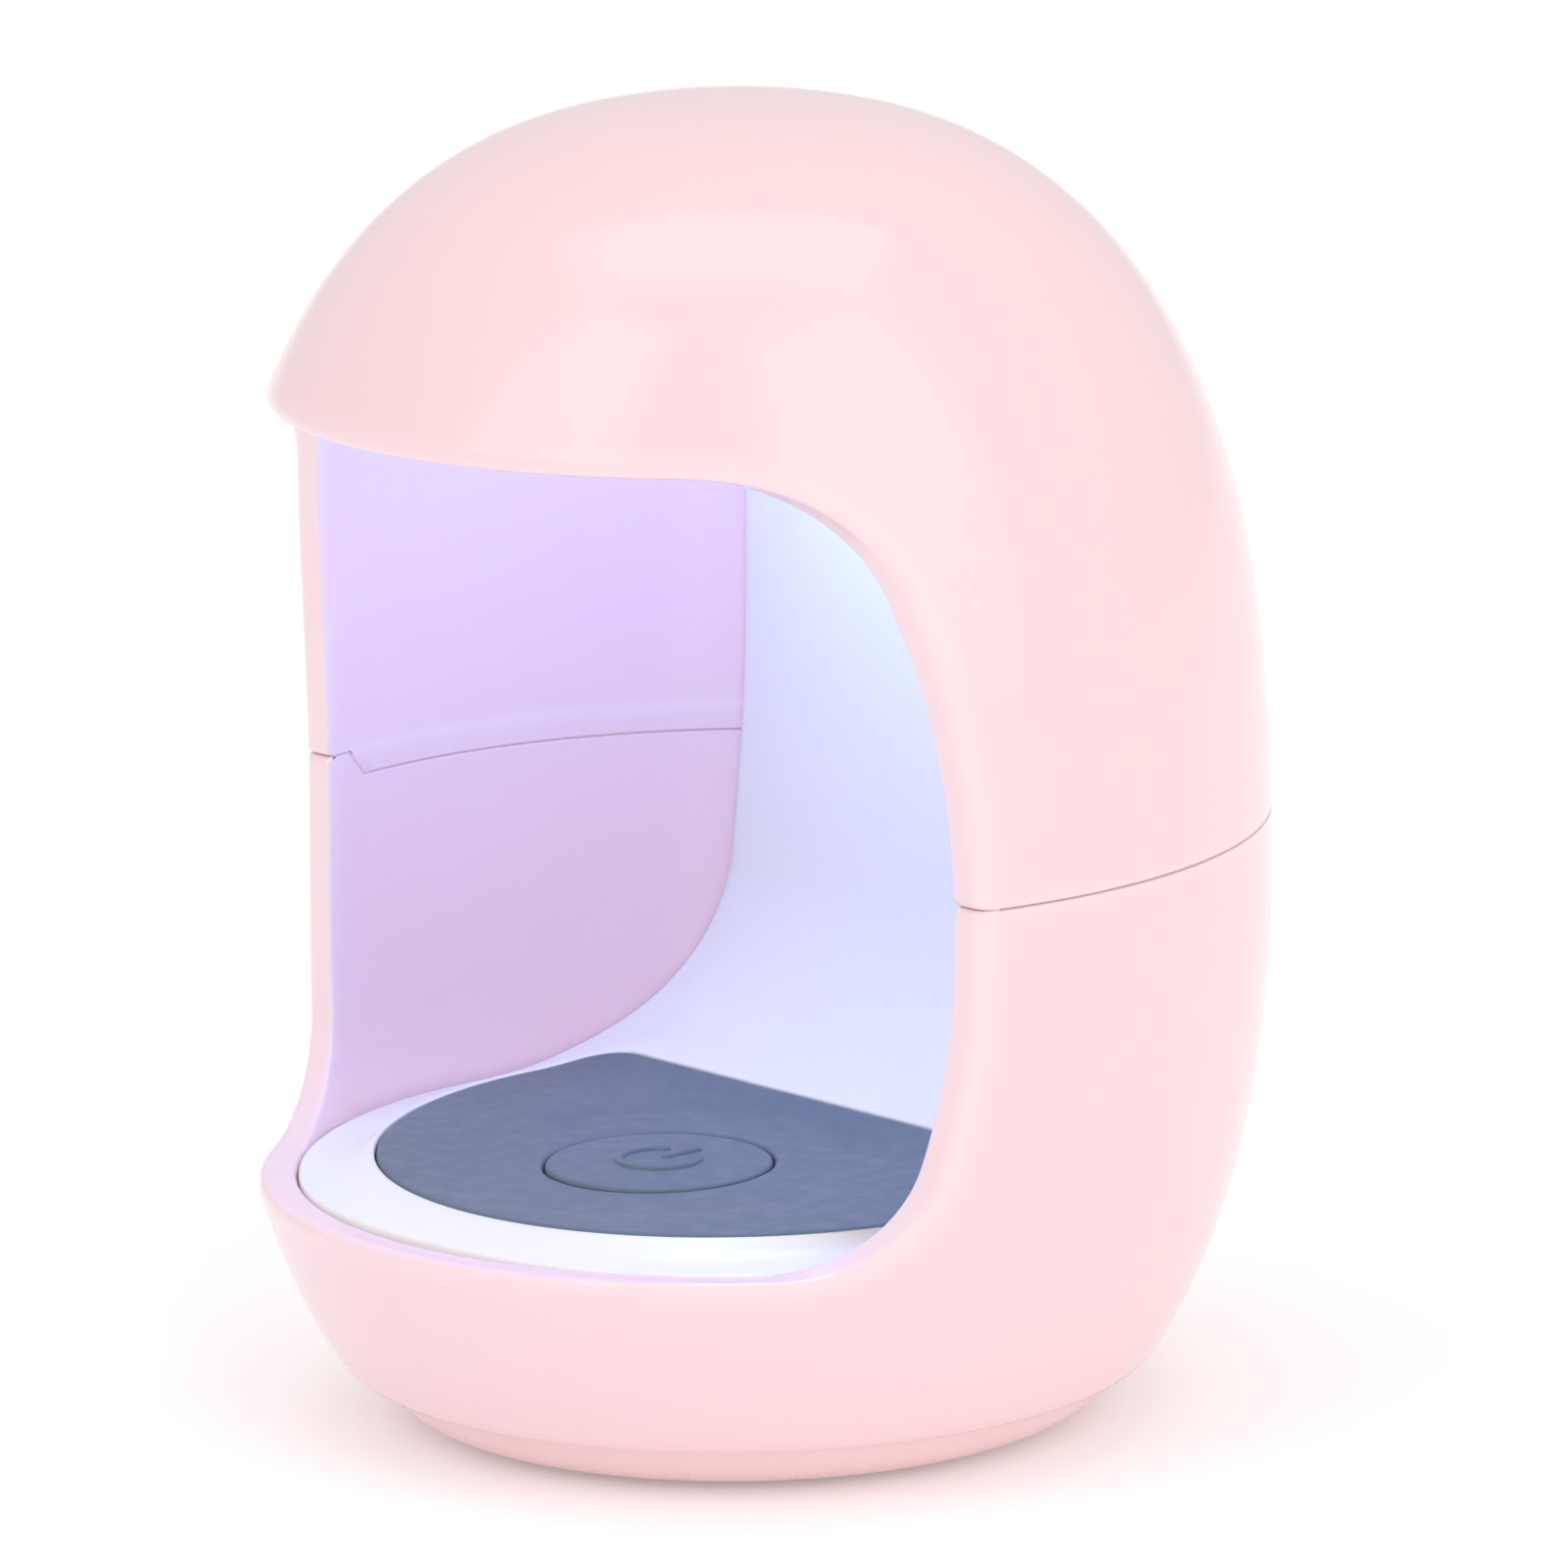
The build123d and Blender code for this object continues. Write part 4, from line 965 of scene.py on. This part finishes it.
# %% Helpers for finishes
def new_finish(name, colour, roughness, **sockets):
    """A material with these constant values on its shader."""
    material = bpy.data.materials.new(name)
    material.use_nodes = True
    shader = material.node_tree.nodes["Principled BSDF"]
    shader.inputs["Base Color"].default_value = (*colour, 1)
    shader.inputs["Roughness"].default_value = roughness
    for socket, value in sockets.items():
        shader.inputs[socket.replace("_", " ")].default_value = value
    return material


def noise(material, size_mm, detail=3.0, stretch=(1, 1, 1)):
    """A noise pattern whose features are about size_mm across."""
    nodes, links = material.node_tree.nodes, material.node_tree.links
    place, mapping = nodes.new("ShaderNodeTexCoord"), nodes.new("ShaderNodeMapping")
    pattern = nodes.new("ShaderNodeTexNoise")
    mapping.inputs["Scale"].default_value = stretch
    pattern.inputs["Scale"].default_value = 1 / (size_mm * MM)
    pattern.inputs["Detail"].default_value = detail
    links.new(place.outputs["Object"], mapping.inputs["Vector"])
    links.new(mapping.outputs["Vector"], pattern.inputs["Vector"])
    return pattern.outputs["Fac"]


def spread(material, value, low, high, start=0.3, stop=0.7):
    """Maps a pattern from start..stop to low..high."""
    nodes, links = material.node_tree.nodes, material.node_tree.links
    scale = nodes.new("ShaderNodeMapRange")
    links.new(value, scale.inputs["Value"])
    for socket, number in (("From Min", start), ("From Max", stop), ("To Min", low), ("To Max", high)):
        scale.inputs[socket].default_value = number
    return scale.outputs["Result"]


def tint(material, value, first, second):
    """Blends two colours by a value into the base colour."""
    nodes, links = material.node_tree.nodes, material.node_tree.links
    blend = nodes.new("ShaderNodeMix")
    blend.data_type = "RGBA"
    links.new(value, blend.inputs["Factor"])
    blend.inputs["A"].default_value = (*first, 1)
    blend.inputs["B"].default_value = (*second, 1)
    shader = nodes["Principled BSDF"]
    if shader.inputs["Base Color"].is_linked:
        before = shader.inputs["Base Color"].links[0].from_socket
        links.new(before, blend.inputs["A"])
    links.new(blend.outputs["Result"], shader.inputs["Base Color"])


def shade(colour, factor):
    """The colour made darker or lighter."""
    return tuple(min(1, channel * factor) for channel in colour)


def set_roughness(material, value):
    material.node_tree.links.new(value, material.node_tree.nodes["Principled BSDF"].inputs["Roughness"])


def relief(material, value, depth_mm, strength=1.0):
    """Adds a bump of a given depth on top of any bump that is already there."""
    nodes, links = material.node_tree.nodes, material.node_tree.links
    bump, shader = nodes.new("ShaderNodeBump"), nodes["Principled BSDF"]
    bump.inputs["Distance"].default_value = depth_mm * MM
    bump.inputs["Strength"].default_value = strength
    links.new(value, bump.inputs["Height"])
    if shader.inputs["Normal"].is_linked:
        links.new(shader.inputs["Normal"].links[0].from_socket, bump.inputs["Normal"])
    links.new(bump.outputs["Normal"], shader.inputs["Normal"])


def painted_highlight(material):
    """The painted edge highlight stored on a piece's points: paler pink at the opening's edge and the seam.
    """
    mark = material.node_tree.nodes.new("ShaderNodeAttribute")
    mark.attribute_name = "wear"
    return mark.outputs["Fac"]


# %% [markdown]
# ## Glossy pink plastic
# The shells are pale pink ABS from a polished mould: a mirror-like skin over a slightly
# translucent body. What makes it read as plastic is small: a faint waviness of the gloss
# and fine handling haze. The edges of the opening and the seam are painted a paler pink,
# a painted highlight. The plinth is the same plastic in a deeper, less polished pink.

# %% Make the pinks
SHELL_PINK = (0.90, 0.65, 0.675)
SHELL_PINK_WARM = (0.90, 0.645, 0.67)
# Paler pink painted on the opening's edge and at the seam: a painted highlight.
SHELL_HIGHLIGHT = (0.92, 0.72, 0.74)
PLINTH_PINK = (0.95, 0.67, 0.675)


def pink_plastic(name, colour, warm, edge, gloss):
    material = new_finish(name, colour, gloss, IOR=1.5, Subsurface_Weight=0.12, Subsurface_Scale=0.002)
    material.node_tree.nodes["Principled BSDF"].inputs["Subsurface Radius"].default_value = (1.0, 0.55, 0.5)
    tint(material, spread(material, noise(material, 14, 2), 0, 1), colour, warm)
    # Painted highlight: the pink turns paler towards the opening's edge and the seam, by the stored
    # attribute.
    tint(material, spread(material, painted_highlight(material), 0, 0.7, 0, 1), colour, edge)
    set_roughness(material, spread(material, noise(material, 3.5, 5), gloss * 0.8, gloss * 1.35))
    relief(material, noise(material, 6, 1), 0.02, 0.25)
    relief(material, noise(material, 0.25, 4), 0.002, 0.25)
    return material


shell_pink = pink_plastic("pink_gloss", SHELL_PINK, SHELL_PINK_WARM, SHELL_HIGHLIGHT, 0.13)
plinth_pink = pink_plastic("pink_plinth", PLINTH_PINK, PLINTH_PINK, SHELL_PINK, 0.3)

# %% [markdown]
# ## White, silicone, foam and the rest
# The tray is white ABS with an even satin. Silicone is duller: it has a dry, powdery
# surface with fine specks of dust, so its roughness changes in small spots. The foot is
# closed-cell foam, and its cells come from a Voronoi pattern.

# %% Make the white, the silicone and the foam
def white_plastic(name, colour, gloss):
    material = new_finish(name, colour, gloss, IOR=1.49, Subsurface_Weight=0.08, Subsurface_Scale=0.002)
    tint(material, spread(material, noise(material, 18, 2), 0, 1, 0.1, 0.9), colour, shade(colour, 0.985))
    set_roughness(material, spread(material, noise(material, 2, 3), gloss * 0.92, gloss * 1.1, 0.1, 0.9))
    relief(material, noise(material, 0.5, 2), 0.003, 0.12)
    return material


def silicone(name, colour, dusty):
    material = new_finish(name, colour, 0.5, IOR=1.41, Sheen_Weight=0.08, Sheen_Roughness=0.5)
    tint(material, spread(material, noise(material, 5, 3), 0, 1), colour, shade(colour, 0.93))
    tint(material, spread(material, noise(material, 0.35, 2), 0, 0.55, 0.69, 0.76), colour, dusty)
    set_roughness(material, spread(material, noise(material, 1.2, 4), 0.42, 0.6))
    relief(material, noise(material, 0.16, 3), 0.012, 0.5)
    return material


def foam(name, colour, cell_mm):
    material = new_finish(name, colour, 0.85)
    nodes, links = material.node_tree.nodes, material.node_tree.links
    place, cells = nodes.new("ShaderNodeTexCoord"), nodes.new("ShaderNodeTexVoronoi")
    cells.inputs["Scale"].default_value = 1 / (cell_mm * MM)
    links.new(place.outputs["Object"], cells.inputs["Vector"])
    tint(material, spread(material, cells.outputs["Distance"], 0, 1, 0.1, 0.6), colour, shade(colour, 1.5))
    relief(material, cells.outputs["Distance"], 0.12, 0.6)
    set_roughness(material, spread(material, noise(material, 2, 3), 0.78, 0.95))
    return material


white_liner = white_plastic("white_satin", (0.89, 0.86, 0.83), 0.30)
white_nylon = white_plastic("white_nylon", (0.78, 0.77, 0.74), 0.45)
grey_silicone = silicone("grey_silicone", (0.125, 0.165, 0.205), (0.19, 0.23, 0.27))
grey_foam = foam("foot_foam", (0.05, 0.05, 0.055), 0.35)
print("pinks, whites, silicone and foam made")

# %% [markdown]
# ## The parts inside
# Nothing inside shows from outside, but the lamp can be opened, so each part has its real
# finish: plated steel with brush marks, solder mask over copper tracks, a mottled ferrite,
# an anodised can and shiny wire insulation.

# %% Make the finishes of the parts inside
def metal(name, colour, gloss, brush=(1, 1, 1)):
    material = new_finish(name, colour, gloss, Metallic=1.0)
    set_roughness(material, spread(material, noise(material, 0.6, 5, brush), gloss * 0.7, gloss * 1.5))
    tint(material, spread(material, noise(material, 2, 3), 0, 1), colour, shade(colour, 0.82))
    relief(material, noise(material, 0.15, 3, brush), 0.003, 0.4)
    return material


def circuit(name, mask, copper, size_mm):
    """Solder mask with square tracks that stand a little proud of the board."""
    material = new_finish(name, mask, 0.35, Coat_Weight=0.3, Coat_Roughness=0.15)
    nodes, links = material.node_tree.nodes, material.node_tree.links
    place, tracks = nodes.new("ShaderNodeTexCoord"), nodes.new("ShaderNodeTexBrick")
    tracks.inputs["Scale"].default_value = 1 / (size_mm * MM)
    tracks.inputs["Mortar Size"].default_value = 0.05
    tracks.offset = 0.35
    links.new(place.outputs["Object"], tracks.inputs["Vector"])
    tint(material, tracks.outputs["Fac"], mask, copper)
    relief(material, tracks.outputs["Fac"], 0.03, 0.5)
    set_roughness(material, spread(material, noise(material, 1.5, 4), 0.28, 0.42))
    return material


def moulded(name, colour, gloss, grain_mm):
    """Plain moulded plastic, epoxy or insulation with a fine grain."""
    material = new_finish(name, colour, gloss)
    tint(material, spread(material, noise(material, 1.5, 3), 0, 1), colour, shade(colour, 1.25))
    set_roughness(material, spread(material, noise(material, 0.8, 4), gloss * 0.8, gloss * 1.25))
    relief(material, noise(material, grain_mm, 3), 0.01, 0.4)
    return material


def glowing_lens(name, colour, strength):
    material = new_finish(name, (0.55, 0.52, 0.95), 0.08, IOR=1.41, Emission_Strength=strength)
    material.node_tree.nodes["Principled BSDF"].inputs["Emission Color"].default_value = (*colour, 1)
    set_roughness(material, spread(material, noise(material, 0.6, 3), 0.05, 0.14))
    relief(material, noise(material, 0.8, 2), 0.01, 0.3)
    return material


LED_VIOLET = (0.33, 0.30, 1.0)
LED_GLOW = (0.23, 0.44, 1.0)
inside = {
    "steel": metal("plated_steel", (0.62, 0.61, 0.58), 0.3),
    "inlet": metal("inlet_steel", (0.66, 0.66, 0.66), 0.25, (1, 12, 1)),
    "gilt": metal("gilt_contacts", (0.83, 0.62, 0.26), 0.25, (1, 10, 1)),
    "spring": metal("spring_steel", (0.70, 0.70, 0.70), 0.2),
    "can": metal("capacitor_can", (0.60, 0.61, 0.64), 0.35, (1, 1, 8)),
    "board": circuit("board_green", (0.02, 0.13, 0.05), (0.05, 0.24, 0.09), 3.2),
    "led_board": circuit("board_white", (0.72, 0.72, 0.70), (0.60, 0.60, 0.57), 5.0),
    "chip": moulded("chip_epoxy", (0.018, 0.018, 0.02), 0.5, 0.12),
    "ferrite": moulded("ferrite_grey", (0.07, 0.07, 0.075), 0.6, 0.3),
    "black": moulded("black_plastic", (0.02, 0.02, 0.022), 0.4, 0.2),
    "red": moulded("red_insulation", (0.45, 0.02, 0.02), 0.35, 0.4),
    "dark": moulded("black_insulation", (0.015, 0.015, 0.017), 0.35, 0.4),
    "ceramic": moulded("led_ceramic", (0.70, 0.70, 0.66), 0.45, 0.2),
    "lens": glowing_lens("led_lens_violet", LED_VIOLET, 9.0),
}
print(len(inside), "finishes for the parts inside")

# %% [markdown]
# ## Where the painted highlight goes
# The rim of the opening and the seam are painted a paler pink, a painted highlight
# along those edges. The distance from each point to the opening's edge and to the seam
# becomes a number stored on the mesh, which the pink reads.

# %% Store the painted highlight on the shells
HIGHLIGHT_REACH = 1.6


def paint_highlight(piece, lines):
    """Stores how close each point of a piece is, seen from the side, to a set of lines."""
    count = len(piece.data.vertices)
    places = np.zeros(count * 3)
    piece.data.vertices.foreach_get("co", places)
    side_view = places.reshape(-1, 3)[:, 1:] / MM
    nearest = np.full(count, 99.0)
    for y, z in lines:
        nearest = np.minimum(nearest, np.hypot(side_view[:, 0] - y, side_view[:, 1] - z))
    nearest = np.minimum(nearest, 3 * np.abs(side_view[:, 1] - PARTING_Z))
    # Painted highlight: 1 on the opening's edge and the seam, fading to 0 further away.
    wear = np.clip(1 - nearest / HIGHLIGHT_REACH, 0, 1)
    piece.data.attributes.new("wear", "FLOAT", "POINT").data.foreach_set("value", wear)
    return (wear > 0).mean()


for shell, way in ((upper_shell, 1), (lower_shell, -1)):
    side, corner, lip = opening_side(way)
    lip_line = [(y, lip[1]) for y in np.linspace(lip[0], -WIDEST_R, 14)]
    share = paint_highlight(shell, [*side[:, :2], *corner[:, :2], *lip_line])
    print(shell.name, f"wear on {share:.0%} of its points")

# %% [markdown]
# ## Put the finishes on and join the pieces to the model
# Each new piece rides on the body that it moves with, and stands for the plain node that
# it replaces. Nodes whose shape is already right keep it and only get their finish.

# %% Ride, replace and paint
PIECES = [
    (upper_shell, "housing", "shell_pink", shell_pink, ["upper_shell"]),
    (lower_shell, "housing", "shell_pink", shell_pink, ["lower_shell"]),
    (bottom_cover, "housing", "base_pink", plinth_pink, ["bottom_cover"]),
    (foot_pad, "housing", "anti_slip_foam", grey_foam, ["foot_pad"]),
    (tray, "housing", "liner_white", white_liner, ["tray_liner"]),
    (pad, "housing", "pad_silicone", grey_silicone, ["finger_pad"]),
    (button, "button", "pad_silicone", grey_silicone, ["press_button"]),
    (button_mark, "button", "pad_silicone", grey_silicone, []),
    (ceiling, "housing", "liner_white", white_liner, ["lamp_ceiling"]),
    (funnels, "housing", "liner_white", white_liner, []),
    (socket, "housing", "plated_steel", inside["inlet"], ["socket_shell"]),
    (contacts, "housing", "plated_steel", inside["gilt"], []),
]
for number, (carrier, lens) in enumerate(zip(carriers, lenses), start=1):
    PIECES.append((carrier, "housing", "led_lens", inside["ceramic"], [f"uv_led_{number}"]))
    PIECES.append((lens, "housing", "led_lens", inside["lens"], []))
for piece, body, slot_name, material, nodes in PIECES:
    piece.data.materials.clear()
    piece.data.materials.append(material)
    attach(piece, body)
    if nodes:
        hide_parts(*nodes)

NODE_FINISHES = {
    "button_plunger": white_nylon, "switch_body": inside["black"], "switch_frame": inside["steel"],
    "switch_stem": inside["black"], "switch_dome": inside["spring"], "control_board": inside["board"],
    "driver_chip": inside["chip"], "power_inductor": inside["ferrite"], "power_diode": inside["chip"],
    "filter_capacitor": inside["can"], "chip_resistors": inside["chip"], "socket_tongue": inside["black"],
    "wire_socket": white_nylon, "wire_plug": white_nylon, "led_wire_red": inside["red"],
    "led_wire_black": inside["dark"], "led_board": inside["led_board"], "base_screws": inside["steel"],
    "board_screws": inside["steel"], "lamp_screws": inside["steel"],
}
for node, material in NODE_FINISHES.items():
    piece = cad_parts[node]
    if not piece.material_slots:
        piece.data.materials.append(material)
    for slot in piece.material_slots:
        slot.material = material
print(len(PIECES), "new pieces,", len(NODE_FINISHES), "nodes painted")

# %% [markdown]
# ## Floor and light
# A pale floor that curves up behind the lamp would do, but a plain level one is simpler
# and the camera looks down on it. Large soft panels make the broad calm reflections that
# show off a glossy dome: one above, one in front and one at the side. Inside, each LED
# throws real violet light onto the tray.

# %% Floor
floor_mesh = bpy.data.meshes.new("studio_floor")
FLOOR_REACH = 3.0
FLOOR_DROP = 0.00003         # keeps the foot's underside clear of the floor
corners = [(x * FLOOR_REACH, y * FLOOR_REACH, -FLOOR_DROP)
           for x, y in ((-1, -1), (1, -1), (1, 1), (-1, 1))]
floor_mesh.from_pydata(corners, [], [(0, 1, 2, 3)])
floor = put("studio_floor", floor_mesh)
paper = new_finish("floor_paper", (0.9, 0.9, 0.9), 0.9, Emission_Strength=0.16)
set_roughness(paper, spread(paper, noise(paper, 40, 3), 0.85, 0.95))
floor_mesh.materials.append(paper)

# %% Light
PANEL_AWAY = 1.2             # distance of each panel's plane, metres
WORLD_LIGHT = 0.75
LED_POWER = 0.0050
LED_DROP = 3.5               # how far under the ceiling the light starts, mm
CAMERA_TURN = math.radians(48.6)


def panel(name, place, turn, width, height, radiance):
    """A soft rectangular light; place, width and height are in units of PANEL_AWAY."""
    place = [value * PANEL_AWAY for value in place]
    width, height = width * PANEL_AWAY, height * PANEL_AWAY
    lamp = bpy.data.lights.new(name, "AREA")
    lamp.shape = "RECTANGLE"
    lamp.size, lamp.size_y = width, height
    lamp.energy = radiance * math.pi * width * height
    holder = put(name, lamp)
    holder.location = place
    holder.rotation_euler = turn


UPRIGHT = math.pi / 2
panel("panel_above", (-0.06, 0.03, 1), (0, 0, CAMERA_TURN), 0.94, 0.46, 1.0)
panel("panel_front", (-0.05, -1, 1.33), (UPRIGHT, 0, 0), 0.8, 1.55, 1.2)
panel("panel_side", (1, -0.08, 1.12), (UPRIGHT, 0, UPRIGHT), 1.05, 2.15, 0.9)
world = bpy.data.worlds.new("white_studio")
bpy.context.scene.world = world
world.use_nodes = True
world.node_tree.nodes["Background"].inputs["Color"].default_value = (1.0, 1.0, 1.0, 1)
world.node_tree.nodes["Background"].inputs["Strength"].default_value = WORLD_LIGHT
for number, (x, y) in enumerate(LED_PLACES, start=1):
    lamp = bpy.data.lights.new(f"led_light_{number}", "POINT")
    lamp.energy, lamp.color, lamp.shadow_soft_size = LED_POWER, LED_GLOW, LENS_R * MM
    put(lamp.name, lamp).location = (x * MM, y * MM, (CEILING_Z - LED_DROP) * MM)
print("lights:", len(bpy.data.lights))

# %% [markdown]
# ## Camera
# The lamp is seen from its front right, a little above, through a long lens, so that
# its upright lines stay almost parallel.

# %% Camera
AZIMUTH = math.radians(48.6378)
ELEVATION = math.radians(12.6199)
ROLL = math.radians(-0.9598)
DISTANCE = 0.6539
LENS = 286.1
AIM = Vector((0.00180, 0.00156, 0.03359))
back = Vector((math.sin(AZIMUTH) * math.cos(ELEVATION), -math.cos(AZIMUTH) * math.cos(ELEVATION),
               math.sin(ELEVATION)))
right = Vector((math.cos(AZIMUTH), math.sin(AZIMUTH), 0))
up = back.cross(right)
tilted_right = math.cos(ROLL) * right + math.sin(ROLL) * up
tilted_up = math.cos(ROLL) * up - math.sin(ROLL) * right
camera = put("camera", bpy.data.cameras.new("camera"))
camera.data.lens = LENS
camera.data.sensor_width = 36.0
camera.data.clip_start = 0.01
axes = Matrix((tilted_right, tilted_up, back)).transposed().to_4x4()
camera.matrix_world = Matrix.Translation(AIM + DISTANCE * back) @ axes
bpy.context.scene.camera = camera
bpy.context.scene.view_settings.view_transform = "Standard"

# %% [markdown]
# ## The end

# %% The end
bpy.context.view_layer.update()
